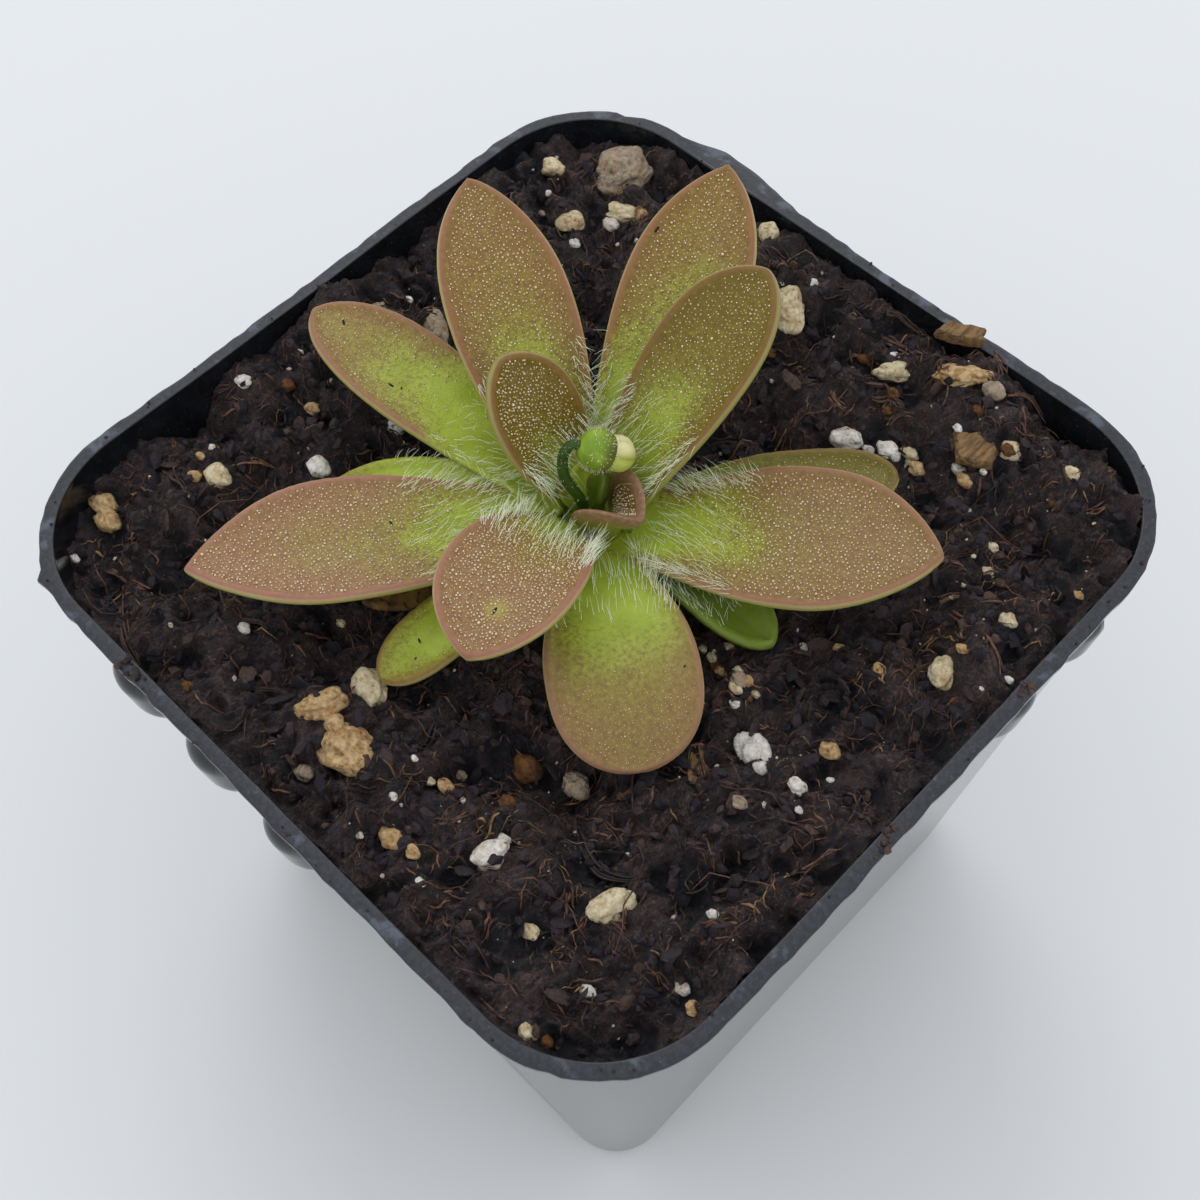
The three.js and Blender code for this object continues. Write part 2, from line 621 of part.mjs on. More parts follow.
function stone(spec, seed, grow = 0) {
  const geometry = new THREE.IcosahedronGeometry(1, 1);
  const position = geometry.attributes.position;
  const half = spec.half.map((value) => value + grow);
  const p = new THREE.Vector3();
  for (let n = 0; n < position.count; n += 1) {
    p.fromBufferAttribute(position, n);
    const bump = 1 + STONE_ROUGHNESS * noise(p.x * 1.7 + 9 * seed, p.y * 1.7 + p.z * 2.3, STONE_LAYER);
    p.multiplyScalar(bump);
    position.setXYZ(n, p.x * half[0], p.y * half[1], p.z * half[2]);
  }
  geometry.rotateZ(rad(spec.turn));
  const [x, y] = spec.at;
  geometry.translate(x, y, soilHeight(x, y) + STONE_STANDS * spec.half[2]);
  return toSolid(geometry);
}

function chip(spec, grow = 0) {
  const [length, width, thickness] = spec.size;
  const outline = new THREE.Shape([
    [-0.5, -0.3], [-0.1, -0.5], [0.5, -0.4], [0.42, 0.1], [0.5, 0.45], [-0.3, 0.5],
  ].map(([u, v]) => new THREE.Vector2(u * (length + 2 * grow), v * (width + 2 * grow))));
  const geometry = new THREE.ExtrudeGeometry(outline, { depth: thickness + 2 * grow, bevelEnabled: false });
  geometry.translate(0, 0, -grow);
  geometry.rotateZ(rad(spec.turn));
  const [x, y] = spec.at;
  const z = spec.onLip ? POT_HEIGHT + GAP : soilHeight(x, y) - CHIP_SINKS * thickness;
  geometry.translate(x, y, z);
  return toSolid(geometry);
}

// Assembly

const plant = new THREE.Group();

function addPiece(name, solid, colour, roughness = 0.6) {
  const mesh = solid.getMesh();
  const geometry = new THREE.BufferGeometry();
  geometry.setAttribute('position', new THREE.Float32BufferAttribute(mesh.vertProperties, 3));
  geometry.setIndex(new THREE.Uint32BufferAttribute(mesh.triVerts, 1));
  geometry.computeVertexNormals();
  const material = new THREE.MeshStandardMaterial({ color: colour, roughness, metalness: 0 });
  const piece = new THREE.Mesh(geometry, material);
  piece.name = name;
  plant.add(piece);
}

addPiece('pot', buildPot(), COLOURS.pot, 0.35);

// Everything that later pieces have to leave room for, grown by the gap
const taken = [];
const crown = crownAndRoots();
addPiece('crown_and_roots', crown, COLOURS.crown);
taken.push(crownAndRoots(GAP));

addPiece('bud_petals', petals(), COLOURS.petal);
addPiece('flower_stalk', cutBy(stalk(), taken), COLOURS.stalk);
taken.push(stalk(GAP), petals(GAP));
addPiece('bud_calyx', cutBy(calyx(), taken), COLOURS.calyx);

for (const [name, leaf] of Object.entries(LEAVES)) {
  addPiece(name, cutBy(blade(leaf), taken), name.startsWith('young') ? COLOURS.young : COLOURS.blade);
  taken.push(blade(leaf, GAP));
}
addPiece('withered_leaf', cutBy(blade(WITHERED_LEAF), taken), COLOURS.withered, 0.9);
taken.push(blade(WITHERED_LEAF, GAP));

CHIPS.forEach((spec, n) => {
  addPiece(`bark_chip_${n + 1}`, cutBy(chip(spec), taken), COLOURS.chip, 0.9);
});
STONES.forEach((spec, n) => {
  const name = `stone_${String(n + 1).padStart(2, '0')}`;
  addPiece(name, cutBy(stone(spec, n), taken), COLOURS[spec.tone], 0.9);
  taken.push(stone(spec, n, GAP));
});
CHIPS.filter((spec) => !spec.onLip).forEach((spec) => taken.push(chip(spec, GAP)));
addPiece('soil', cutBy(soilBed(), taken), COLOURS.soil, 0.95);

export default plant;
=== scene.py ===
import bmesh
import bpy
import numpy as np
from mathutils import Matrix, Vector


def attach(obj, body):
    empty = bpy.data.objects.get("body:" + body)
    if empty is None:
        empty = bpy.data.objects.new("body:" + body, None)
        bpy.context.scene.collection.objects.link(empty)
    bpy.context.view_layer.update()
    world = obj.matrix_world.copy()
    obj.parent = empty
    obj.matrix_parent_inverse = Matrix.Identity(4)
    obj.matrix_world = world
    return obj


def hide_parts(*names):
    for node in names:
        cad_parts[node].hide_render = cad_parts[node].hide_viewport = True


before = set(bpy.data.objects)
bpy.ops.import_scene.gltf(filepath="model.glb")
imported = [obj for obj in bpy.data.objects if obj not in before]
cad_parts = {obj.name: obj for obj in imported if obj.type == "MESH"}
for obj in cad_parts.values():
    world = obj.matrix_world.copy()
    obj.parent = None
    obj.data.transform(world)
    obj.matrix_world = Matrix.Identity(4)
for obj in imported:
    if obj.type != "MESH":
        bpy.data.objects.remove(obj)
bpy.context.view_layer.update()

MM = 0.001
UP = np.array([0.0, 0.0, 1.0])

# Camera: where it stands, its right and its upward direction
CAMERA_AT = np.array([62.958, -58.033, 218.054])
CAMERA_RIGHT = Vector((0.71451237, 0.69903741, -0.0286142))
CAMERA_UP = Vector((-0.59815407, 0.63158687, 0.49326436))
LENS = 46.5
SENSOR = 36

# Light: place, width and power of the lamp, strength of the light all round
LIGHT_AT = (-480, 330, 900)
LIGHT_SIZE = 400
LIGHT_POWER = 1.2
ROOM_LIGHT = 1.01
FLOOR_HALF = 3000

# Pot
POT_HEIGHT = 86
RIM_HALF = 44.5
LIP_OVERHANG = 0.7
LIP_THICKNESS = 1.2
LIP_UNDER = POT_HEIGHT - LIP_THICKNESS
TOP_HALF = RIM_HALF - LIP_OVERHANG
FOOT_HALF = 35.5
FOOT_ROUND = 2.5
WALL = 0.9
# The walls bow in most at half the height and at the middle of a side
WALL_BOW = 0.3
BOW_HEIGHT = 84
BOW_WIDTH = 40
LIP_WAVE = 0.18
LIP_WAVE_LENGTH = 14
RIM_CORNER = 15.4
FOOT_CORNER = 7
SIDE_STEPS = 84
CORNER_STEPS = 22
# Marks the points of a side that belong to a corner, where no lug can be
AWAY = 1e3
RECESS_HALF = 24
RECESS_DEPTH = 1.5
DRAIN_RADIUS = 3.6
DRAIN_SPREAD = 15
# Stacking lugs: their middles along each side and in height, and how far those of a side stand out
LUG_RADIUS = 4
LUG_PLACES = [[16, 28], [-23.2, -11.2, 0.8], [16, 28], [-23.2, -11.2, 0.8]]
LUG_MIDDLE = POT_HEIGHT - 10
LUG_STRAIGHT = 2
LUG_STANDS = [1.1, 1.9, 1.1, 1.9]
# Ragged spots of the lip: place, how far it sticks out, how wide
BURRS = [(-45.6, 28.4, 0.9, 0.8), (-34.4, -44, 1.0, 0.7), (-35.9, 42.2, -0.9, 0.9)]
# The lip of one side flares: from and to along it, how far out and how far down
FLARE = {"from": -29, "to": -9, "out": 2.2, "down": 0.9}

# Soil bed. Each lump and each clod has its size across and its height.
SOIL_LEVEL = 80
SOIL_STEP = 0.33
BED_DROP = 0.6
BED_RISE = 4.3
BED_TILT = 0.5
DISH_FROM = 0.45
DISH_TO = 0.92
LUMPS = [(7.5, 1.5), (3.2, 1.1)]
CLODS = [(4.4, 1.25), (2, 0.75), (0.95, 0.4), (0.5, 0.2)]
CLOD_DROP = 0.8
# Dark hollows between the clods: place, radius and depth
HOLLOWS = [
    (18.4, -18.9, 4.5, 2.6), (33.1, 28.1, 3, 2), (17.7, 5.6, 3.5, 2.2), (-9.4, -26, 4, 2.2),
    (-0.1, 33.5, 3, 1.5), (11.4, 22.9, 3.5, 1.5), (8.2, -27.4, 3, 1.6), (-42, -19.5, 3.2, 4.5),
    (15.3, 31.8, 2, 1.4), (3.8, 23.3, 3, 1.5), (-27.4, 38.9, 2.6, 2), (-14, 43, 3, 1.5), (28, 43, 4, 2.4),
]
# How low leaves press the soil down, and where along them
PRESS_CLEARANCE = 1.4
PRESS_MARGIN = 1
PRESS_SLOPE = 0.8
PRESS_STATIONS = np.array([0.2, 0.3, 0.4, 0.5, 0.6, 0.7, 0.8, 0.9, 0.985])
LOW_LEAVES = ["leaf_06", "leaf_09", "leaf_10", "leaf_12", "leaf_13"]
CRUMBS = 3600
FLAKES = 380
SPECKS = 330
FIBRES = 4100
SHREDS = 2400
LONG_ROOTS = 70
FIBRE_STEPS = 5
# Fibres lie in tufts: their size, and how much the direction changes from one to the next
TUFT_SIZE = 5
TUFT_TURN = 4
# Dirt on the lip: how many bits are scattered along it, and where clumps of it lie
LIP_BITS = 70
CLUMP_BITS = 9
LIP_CLUMPS = [(-20.6, -43.6), (-19, -43.9), (43.4, -6.4), (43.8, -7.4), (43.7, 13.4)]

# Leaves, from the heart outwards: first the form as in the part, then what is only looks.
# turn is where along the blade the green has half given way to the blush, blush how strong it gets,
# pink how much of it is pink and not golden brown, beads how close the droplets stand in mm, 0 for none,
# hairs how many long ones stand on the blade, shade how dark the green is, drop the size of the droplets,
# first where along the blade they begin, furred over how much of it the hairs stand, rib a pale midrib,
# lip a brown rim. Values at the end of a row are left out where they are the usual ones.
CROWN = np.array([-1, 0.5, SOIL_LEVEL])
FORM = "azimuth reach tip base rise level width neck widest point blunt cup sweep seat thick".split()
FORM_USUAL = {"sweep": 0, "seat": 3.6, "thick": 1}
LOOK = "turn blush pink beads hairs shade drop first furred rib lip".split()
LOOK_USUAL = {"drop": 1, "first": 0.08, "furred": 0.26, "rib": 0, "lip": 0}
ROSETTE = {
    "young_leaf_1": ((70, 2.2, 9.5, 5, 75, 50, 2.8, 0.7, 0.5, 2.2, 1.6, 0.3, 0, 1, 0.8),
                     (2, 0, 0, 0, 0, 0.8)),
    "young_leaf_2": ((195, 4, 7, 4, 75, 50, 3, 0.7, 0.5, 2.2, 1.6, 0.3, 0, 2, 0.8),
                     (0.85, 0.8, 0, 0, 0, 0.4)),
    "young_leaf_3": ((143, 4.5, 7, 4, 75, 50, 3.2, 0.7, 0.6, 2.6, 1.9, 0.4, 0, 2, 0.8), (2, 0, 0, 0, 0, 0)),
    "young_leaf_4": ((4, 7, 8.5, 3, 80, 0, 7, 0.6, 0.55, 2.2, 1.2, 1, 0, 3, 0.8),
                     (0.3, 1, 0.3, 0.3, 0, 0.2, 1, 0.08, 0.26, 0, 1)),
    "leaf_04": ((180, 12, 19, 5, 65, 55, 10, 0.6, 0.55, 2.4, 1.7, 0.3), (0.34, 1, 0, 0.43, 140, 0.18)),
    "leaf_03": ((84.5, 23.5, 23, 4, 60, 35, 11.5, 0.65, 0.6, 2.6, 1.6, 0.3, -10),
                (0.44, 1, 0, 0.52, 200, 0.22, 0.85)),
    "leaf_08": ((287, 24, 12, 4, 50, -10, 13.5, 0.5, 0.58, 2.4, 1.35, 0.2, -6),
                (0.27, 1, 0.75, 0.43, 270, 0)),
    "leaf_01": ((156, 34, 19, 3, 50, 15, 13, 0.55, 0.55, 2.2, 1.25, 0.25, 8),
                (0.38, 1, 0.35, 0.52, 190, 0)),
    "leaf_02": ((110, 36, 19, 3, 50, 15, 13, 0.55, 0.58, 2.2, 1.2, 0.25, -10),
                (0.52, 1, 0.25, 0.56, 190, 0)),
    "leaf_11": ((28, 35.5, 10, 2, 20, 8, 16.5, 0.5, 0.6, 2.1, 1.25, 0.2, -4),
                (0.36, 1, 0.6, 0.52, 250, 0.1)),
    "leaf_10": ((323.5, 28.5, 2, 2, 20, -40, 15, 0.45, 0.64, 2.6, 1.9, 0.1),
                (0.58, 0.9, 0.7, 0.5, 220, 0.15, 0.55, 0.58)),
    "leaf_05": ((187, 37.5, 9, 2, 20, 5, 11, 0.55, 0.6, 2.4, 1.6, 0.2),
                (0.66, 0.9, 0.6, 0.56, 160, 0, 0.8)),
    "leaf_07": ((238.5, 40.5, 9.5, 2, 20, 5, 14.5, 0.55, 0.58, 2, 1.2, 0.2), (0.4, 1, 0.9, 0.5, 230, 0)),
    "leaf_12": ((50.5, 32, 4, 1, 15, 5, 9, 0.5, 0.6, 2.6, 1.9, 0.2), (0.55, 0.8, 0, 0.6, 100, 0.3, 0.8)),
    "leaf_13": ((4.5, 23.5, 2, 1, 10, -5, 7, 0.5, 0.65, 2.2, 1.6, 0.4, 8),
                (2, 0, 0, 0, 240, 0.68, 1, 0.08, 0.6, 1)),
    "leaf_06": ((220, 29, 2, 1, 25, -20, 9.5, 0.55, 0.5, 2.4, 1.6, 0.2),
                (0.95, 0.5, 0.2, 0.8, 260, 0, 0.65, 0.08, 0.5)),
    "leaf_09": ((266, 27.5, 2, 1, 10, -10, 7, 0.5, 0.68, 2.6, 1.9, 0.1),
                (0.9, 0.7, 0.1, 0.8, 150, 0.05, 0.65)),
    "withered_leaf": ((246, 25, 1.5, 0.5, 12, -4, 6, 0.5, 0.55, 2.2, 1.6, -0.25, 0, 3.6, 0.6), None),
}
LEAVES = {name: {**FORM_USUAL, **dict(zip(FORM, form))} for name, (form, _) in ROSETTE.items()}
LOOKS = {name: {**LOOK_USUAL, **dict(zip(LOOK, look))} for name, (_, look) in ROSETTE.items() if look}
# Steps along and across a young and a grown blade
YOUNG_MESH = (36, 22)
GROWN_MESH = (72, 34)
CURVE_STEPS = 400
OUTLINE_STEPS = 500
TIP_CROWDING = 1.6
BLADE_MIDDLE = 1.8
BLADE_MARGIN = 1.1
MIDRIB_PULL = 0.38
MIDRIB_HOOK = 0.6
MARGIN_SWELL = 1.6
EDGE_ROUND = 0.6
BEAD_WIDTH = 1.3
BEAD_LIFT = 0.38
BASE_EXTRA = 1.2
WAVE_LENGTH = 7
WAVE_HEIGHT = 0.28
RIB_WIDTH = 0.22
GROOVE_DEPTH = 0.16
GROOVE_WIDTH = 1.1
DIMPLE_DEPTH = 0.14
BROWN_EDGES = 0.45
# Droplets: radius, how far the rows stand from each other and each strays, and how many are large ones
BEAD_RADIUS = 0.093
BEAD_ROWS = 0.87
BEAD_JITTER = 0.32
BIG_BEADS = 0.04
# Hairs: radius, lengths, where along the blade they begin, and how many of them stand along the margins
HAIR_RADIUS = 0.034
HAIR_LENGTHS = (1.2, 2.8)
HAIR_START = 0.17
MARGIN_HAIRS = 0.6

# Dark specks on the blades: leaf, place along and across the blade, length in mm, turn in degrees
MARKS = [
    ("leaf_08", 0.775, -0.07, 0.9, 15), ("leaf_05", 0.89, 0.2, 0.8, 60), ("leaf_05", 0.63, -0.42, 0.7, 100),
    ("leaf_05", 0.6, -0.33, 0.4, 30), ("leaf_07", 0.46, 0.22, 0.6, 80), ("leaf_02", 0.74, -0.86, 0.9, 20),
    ("leaf_09", 0.78, 0.1, 0.6, 70), ("leaf_09", 0.84, -0.3, 0.35, 10), ("leaf_10", 0.66, -0.8, 0.35, 0),
]
# Yellow-green spot on a blade: leaf, place along and across it, radius in mm
PALE_SPOT = ("leaf_08", 0.765, -0.1, 1.1)

# Flower, and the short stem under the rosette with its roots
STALK_RADIUS = 0.6
STALK_TIP_SHARE = 0.85
STALK_STEPS = 40
STALK_ROUTE = [[-0.9, -0.5, 84.9], [-1, -0.9, 88], [-2.4, -1.4, 90.8], [-3.1, -0.8, 93.2],
               [-2.9, 0.1, 94.3], [-2.2, 0.8, 94.3]]
STALK_HAIRS = 110
STALK_HAIR_RADIUS = 0.022
BUD_HAIRS = 260
BUD_HAIR_RADIUS = 0.02
BUD_BEAD_RADIUS = 0.055
BUD_FROM = np.array([-2.4, 0.6, 94.3])
BUD_TOWARDS = np.array([1.9, 5.2, 91.3])
BUD_SIDES = 60
CALYX_LENGTH = 4.4
CALYX_RADIUS = 2.1
CALYX_OPENS = 140
PETAL_COUNT = 5
PETAL_RADIUS = 1.15
PETAL_SPREAD = 0.75
PETAL_AT = 4.3
PETAL_STRETCH = 1.5
CROWN_RADIUS = 3
CROWN_TOP = 4.5
CROWN_DEPTH = 7
CROWN_TAIL = 1.6
CROWN_MESH = 36
ROOT_COUNT = 7
ROOT_RADIUS = 0.8
ROOT_TIP_SHARE = 0.45
ROOT_STEPS = 30

# Layers of the noise that shape the large forms
LUMP_LAYERS = (1, 2)
STONE_LAYER = 3
ROOT_LAYER = 5

# Stones: place, half sizes along and across and upwards, turn in degrees, tone
STONES = [
    (-4.8, -32.8, 2.6, 1.7, 1.6, 60, "tan"), (-0.1, -34.3, 3.1, 2.4, 1.9, 20, "tan"),
    (-3.7, -28, 2.2, 1.7, 1.4, 140, "cream"), (-32.5, 37.2, 4, 3.2, 2.4, 70, "grey"),
    (-38.2, 31.9, 1.4, 1.2, 1.3, 10, "cream"), (-28.2, 33.3, 2, 1.2, 1.1, 30, "cream"),
    (-31.8, 6.8, 3.2, 1.5, 1.2, 155, "grey"), (-3.8, 34.7, 3.6, 1.7, 1.5, 134, "cream"),
    (11.1, 27.2, 1.8, 1.5, 1.3, 30, "white"), (16.4, 38.9, 3.2, 1.3, 1.2, 38, "tan"),
    (36.4, 10.9, 1.9, 1.4, 1.2, 120, "cream"), (28.4, -6.6, 2.3, 1.5, 1.3, 160, "white"),
    (18, -32, 1.8, 1.4, 1.2, 70, "white"), (29.2, -27.4, 2.3, 1.4, 1.3, 75, "cream"),
    (-12.2, 40.7, 1.5, 1.3, 1.2, 130, "cream"), (10.2, 36.4, 2.4, 1.1, 1, 45, "cream"),
    (-31.7, 28.3, 1.6, 1.5, 1.2, 60, "cream"),
]
STONE_ROUGHNESS = 0.22
STONE_STANDS = 0.25
# Smaller grains by tone: place and radius, and how far they stretch along, across and upwards
GRAIN_FORM = np.array([1.2, 0.9, 0.8])
GRAINS = {
    "tan": [
        (-34.9, -24.8, 0.65), (-40.5, -33.3, 1.35), (-38.2, -34.3, 1.3), (-37.5, -22.4, 0.5),
        (-33.9, -9.7, 0.8), (-26.3, 34.7, 1), (19.1, 29.3, 0.8), (23.9, 30.9, 0.85), (-2.3, -33.4, 1),
        (10.1, -37.3, 1.1), (32, 6.9, 0.8), (33.8, -2.6, 0.9), (26.8, 7.6, 0.7), (41.2, -29.7, 0.7),
        (17, -20, 0.8), (40.9, 26.7, 0.5), (36.6, 13.3, 0.6), (9.3, -29.9, 0.8), (13.1, -37, 0.7),
        (22.9, -2, 0.55), (19.5, -1.8, 0.55),
    ],
    "cream": [
        (-33.4, -23, 1.35), (-29.5, 5.8, 0.7), (17, 30.7, 1), (17.7, 30, 0.7), (25.8, 35.8, 1.1),
        (32.2, 37.4, 0.85), (-12.2, -24.8, 0.5), (25.5, -34.4, 0.8), (32.3, -41.2, 0.8), (37.7, 19.3, 0.8),
        (18.1, 0.7, 0.6), (25.4, 36.2, 0.6), (31.1, 26, 0.6), (32.6, 23.4, 0.65), (7.6, -30.5, 0.55),
        (22.7, -3.5, 0.65), (21.6, -1.7, 0.6), (17.6, -1.2, 0.5), (16.3, -1, 0.4), (24.2, -2.2, 0.4),
    ],
    "white": [
        (-27.4, -14.4, 1.2), (-36.9, -39.4, 0.5), (-40.2, -13.5, 0.85), (-39.3, -6.4, 0.35),
        (-37.7, -20.7, 0.4), (-31.3, -13.1, 0.35), (-26.2, -4.6, 0.9), (-36.4, 7, 0.5), (-36.2, 28.9, 0.5),
        (-29.1, 26.3, 0.6), (-28.1, 31.2, 0.9), (-3.6, 38.5, 0.55), (13.6, 28, 0.6), (15.5, 28.8, 1.25),
        (8.8, 37.7, 0.5), (22.5, 31.9, 0.75), (20.1, 34.1, 0.5), (25, 32.2, 0.35), (-16.8, -32.8, 0.6),
        (33.3, -34.9, 0.7), (38.9, -28.7, 0.7), (29.9, -7.8, 0.8), (34, -7.6, 0.9), (23.6, -4.6, 0.5),
        (24, 5.5, 0.5), (35.7, -4.6, 0.4), (35.8, -9.4, 0.4), (36.9, -22.5, 0.5), (26.6, 29.1, 0.6),
        (41.8, 13.9, 0.4), (40.5, 11.3, 0.25), (7.2, -34.4, 0.45), (5.8, -30.4, 0.35), (11.9, -29.9, 0.35),
        (8.2, -39.3, 0.35), (15.8, -38.5, 0.45), (17.6, -29.9, 0.6),
    ],
    "grey": [
        (-37.9, 3.9, 0.8), (-34.9, 26.7, 0.4), (20.2, 39.4, 1.1), (-1.4, -38.4, 0.9), (31.2, -12.5, 0.7),
        (22.4, -2.6, 0.8), (8.2, -27.4, 0.6), (17.3, -20.4, 1.3),
    ],
    "rust": [
        (-37.6, -10, 0.8), (25.6, 35.2, 0.7), (6, 35.9, 0.6), (10.4, 33.6, 0.6), (12, 33.3, 0.7),
        (12.7, 31.8, 0.5), (20.4, 36.9, 0.6), (-2.8, 30.8, 0.6), (-15.8, -40.7, 0.6), (33.5, -40.4, 0.7),
        (32.5, 34.3, 0.45), (12.1, -22.4, 1.5), (15.3, -27.3, 0.9), (18.6, -1.6, 0.6), (23.9, -3.1, 0.5),
    ],
}
# Bark and wood chips: centre, length, width, thickness, turn in degrees, and whether it lies on the lip
CHIPS = [
    (13.4, 42.3, 5.4, 2, 1.5, 30, True), (22.9, 33.5, 4.6, 4.4, 1.3, 134, False),
    (25.4, -12.4, 4.6, 1.3, 0.9, -50, False),
]
CHIP_OUTLINE = [(-0.5, -0.3), (-0.1, -0.5), (0.5, -0.4), (0.42, 0.1), (0.5, 0.45), (-0.3, 0.5)]
CHIP_LAYERS = 6
CHIP_STEPS = 48
CHIP_SINKS = 0.35
GAP = 0.3
# Twigs and shreds of bark on the soil: radius at the thick end, tone, and the places they run through
TWIGS = [
    (0.36, 0.92, -34.7, -20.9, -33.2, -19, -31.2, -17.4), (0.5, 0.45, -39, -25.8, -35.8, -26, -33.4, -26.2),
    (0.3, 0.6, -37.2, -14.4, -37, -13.1, -35.8, -12.7), (0.36, 0.7, -44, -20.2, -42.7, -18.9),
    (0.5, 0.5, -42.9, -16.7, -41, -14.7), (0.45, 0.62, 5.6, 25.9, 6, 23.7, 6.7, 21.2),
    (0.55, 0.62, 5.9, 39.2, 7.9, 39.3, 10.8, 38.3), (0.42, 0.5, 4.3, 41.1, 6.4, 42.5, 9.9, 41.4),
    (0.42, 0.86, 15.1, 41.6, 15.6, 42.6, 16, 43.8), (0.45, 0.72, 17.1, 43.4, 18.8, 42.7, 19.9, 42),
    (0.36, 0.72, 21.3, 40.3, 23.5, 42.5, 25.9, 43), (0.45, 1, 6.8, 29.4, 7.8, 29.1, 9, 29.2),
    (0.28, 0.6, -13.2, -35, -11.9, -36.4, -9.5, -34.7, -5.5, -34.1),
    (0.42, 0.8, -34.3, -37.9, -31.2, -37.2, -28.1, -36.5),
    (0.42, 0.62, -31.1, -38, -26.8, -40.6, -23.6, -42.2, -21.5, -42.6),
    (0.42, 0.72, 25.3, -31.7, 25.5, -30, 25.2, -28.4), (0.3, 0.93, 23.9, -9.9, 25.4, -11.2, 27.2, -12.4),
    (0.4, 0.7, 32.7, 17.2, 37.7, 15.8, 41, 13.3),
    (0.34, 0.4, -24.1, -31, -19.1, -32.6, -15.9, -31.1, -14.4, -32.3),
    (0.5, 0.25, 21.3, -24.3, 25.5, -25.5, 29.4, -23.6), (0.34, 0.8, 9.4, 32.7, 10.4, 33.9, 10.9, 35.2),
    (0.38, 0.85, 10.6, 31.6, 12.1, 32.6, 13.9, 32.9), (0.3, 0.95, 11.4, 34.6, 12.2, 33.2, 12.4, 31.4),
    (0.36, 0.8, 4.8, 35.4, 6.1, 36.1, 7.6, 36), (0.3, 0.9, 13.4, 31, 13.9, 32.4, 15.2, 33.4),
    (0.34, 0.9, 35.6, 34.6, 36.2, 35.6, 36.7, 37), (0.24, 1.1, 26.3, 29.5, 26.9, 29.1, 27.5, 28.6),
    (0.42, 0.75, 27.2, 21.4, 28.6, 22.2, 30.6, 22.4), (0.36, 0.85, 30.4, 18.4, 31.2, 19.9, 32.6, 20.6),
    (0.4, 0.35, 3.4, -25.8, 4.6, -28.2, 4.3, -30.6), (0.34, 0.7, 12.2, -33.6, 13.4, -31.6, 13.6, -29.4),
]
TWIG_STEPS = 16
TWIG_FIBRES = 4


# Numbers and forms

def lerp(a, b, share):
    return a + (b - a) * share


def smooth(t):
    return t * t * (3 - 2 * t)


def ease(value, low, high):
    """0 below low, 1 above high, smooth between."""
    return smooth(np.clip((value - low) / (high - low), 0, 1))


def columns(*parts):
    """The parts side by side as the last axis. A single number is taken for every row."""
    return np.stack(np.broadcast_arrays(*parts), axis=-1)


def unit(vectors):
    return vectors / np.maximum(np.linalg.norm(vectors, axis=-1, keepdims=True), 1e-9)


def turns(count):
    """The angles of count even steps round a circle."""
    return 2 * np.pi * np.arange(count) / count


def lattice(i, j, k):
    wave = np.sin(i * 127.1 + j * 311.7 + k * 74.7) * 43758.5453
    return wave - np.floor(wave)


def noise(x, y, layer):
    """Smooth repeatable noise from -1 to 1 over a plane. Each layer is a pattern of its own."""
    i, j = np.floor(x), np.floor(y)
    u, v = smooth(x - i), smooth(y - j)
    low = lerp(lattice(i, j, layer), lattice(i + 1, j, layer), u)
    high = lerp(lattice(i, j + 1, layer), lattice(i + 1, j + 1, layer), u)
    return lerp(low, high, v) * 2 - 1


def solid_noise(points, layer):
    """Smooth repeatable noise from -1 to 1 in space."""
    x, y, z = points.T
    k = np.floor(z)
    return lerp(noise(x, y, layer + 13 * k), noise(x, y, layer + 13 * (k + 1)), smooth(z - k))


def rough(points, size, layer, octaves=4):
    """Noise of several sizes on top of each other, the coarsest one size mm across."""
    return sum(solid_noise(points / size * 2 ** n, layer + n) / 2 ** n for n in range(octaves))


def new_piece(name, points, faces, finish, slot, nodes=(), soft=True, **values):
    """A mesh object in the shared frame. faces is a list of index arrays, each with faces of one size."""
    loops = np.concatenate([group.ravel() for group in faces])
    totals = np.concatenate([np.full(len(group), group.shape[1]) for group in faces])
    starts = np.concatenate([[0], np.cumsum(totals)[:-1]])
    mesh = bpy.data.meshes.new(name)
    mesh.vertices.add(len(points))
    mesh.vertices.foreach_set("co", (np.asarray(points) * MM).astype(np.float32).ravel())
    mesh.loops.add(len(loops))
    mesh.loops.foreach_set("vertex_index", loops.astype(np.int32))
    mesh.polygons.add(len(totals))
    mesh.polygons.foreach_set("loop_start", starts.astype(np.int32))
    mesh.update(calc_edges=True)
    mesh.polygons.foreach_set("use_smooth", np.full(len(totals), soft))
    for key, value in values.items():
        attribute = mesh.attributes.new(key, "FLOAT", "POINT")
        attribute.data.foreach_set("value", np.full(len(points), value, np.float32))
    mesh.materials.append(FINISHES[finish])
    piece = add_object(name, mesh)
    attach(piece, "root")
    if nodes:
        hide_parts(*nodes)
    return piece


def add_object(name, data):
    thing = bpy.data.objects.new(name, data)
    bpy.context.scene.collection.objects.link(thing)
    return thing


def tube_faces(rings, around):
    """Quads between rings of points that follow each other in one list."""
    i, k = np.meshgrid(np.arange(rings - 1), np.arange(around), indexing="ij")
    low, beside = i * around, (k + 1) % around
    return columns(low + k, low + beside, low + around + beside, low + around + k).reshape(-1, 4)


def fan_faces(first, around, hub, flip=False):
    one, two = first + np.arange(around), first + (np.arange(around) + 1) % around
    return columns(two, one, hub) if flip else columns(one, two, hub)


def closed(points, around, ends, inward=False):
    """A closed body from rings of points in one list and an end beyond the first and the last ring."""
    count = len(points)
    tube = tube_faces(count // around, around)
    faces = [tube[:, ::-1] if inward else tube, fan_faces(0, around, count, not inward),
             fan_faces(count - around, around, count + 1, inward)]
    return np.concatenate([points, ends]), faces


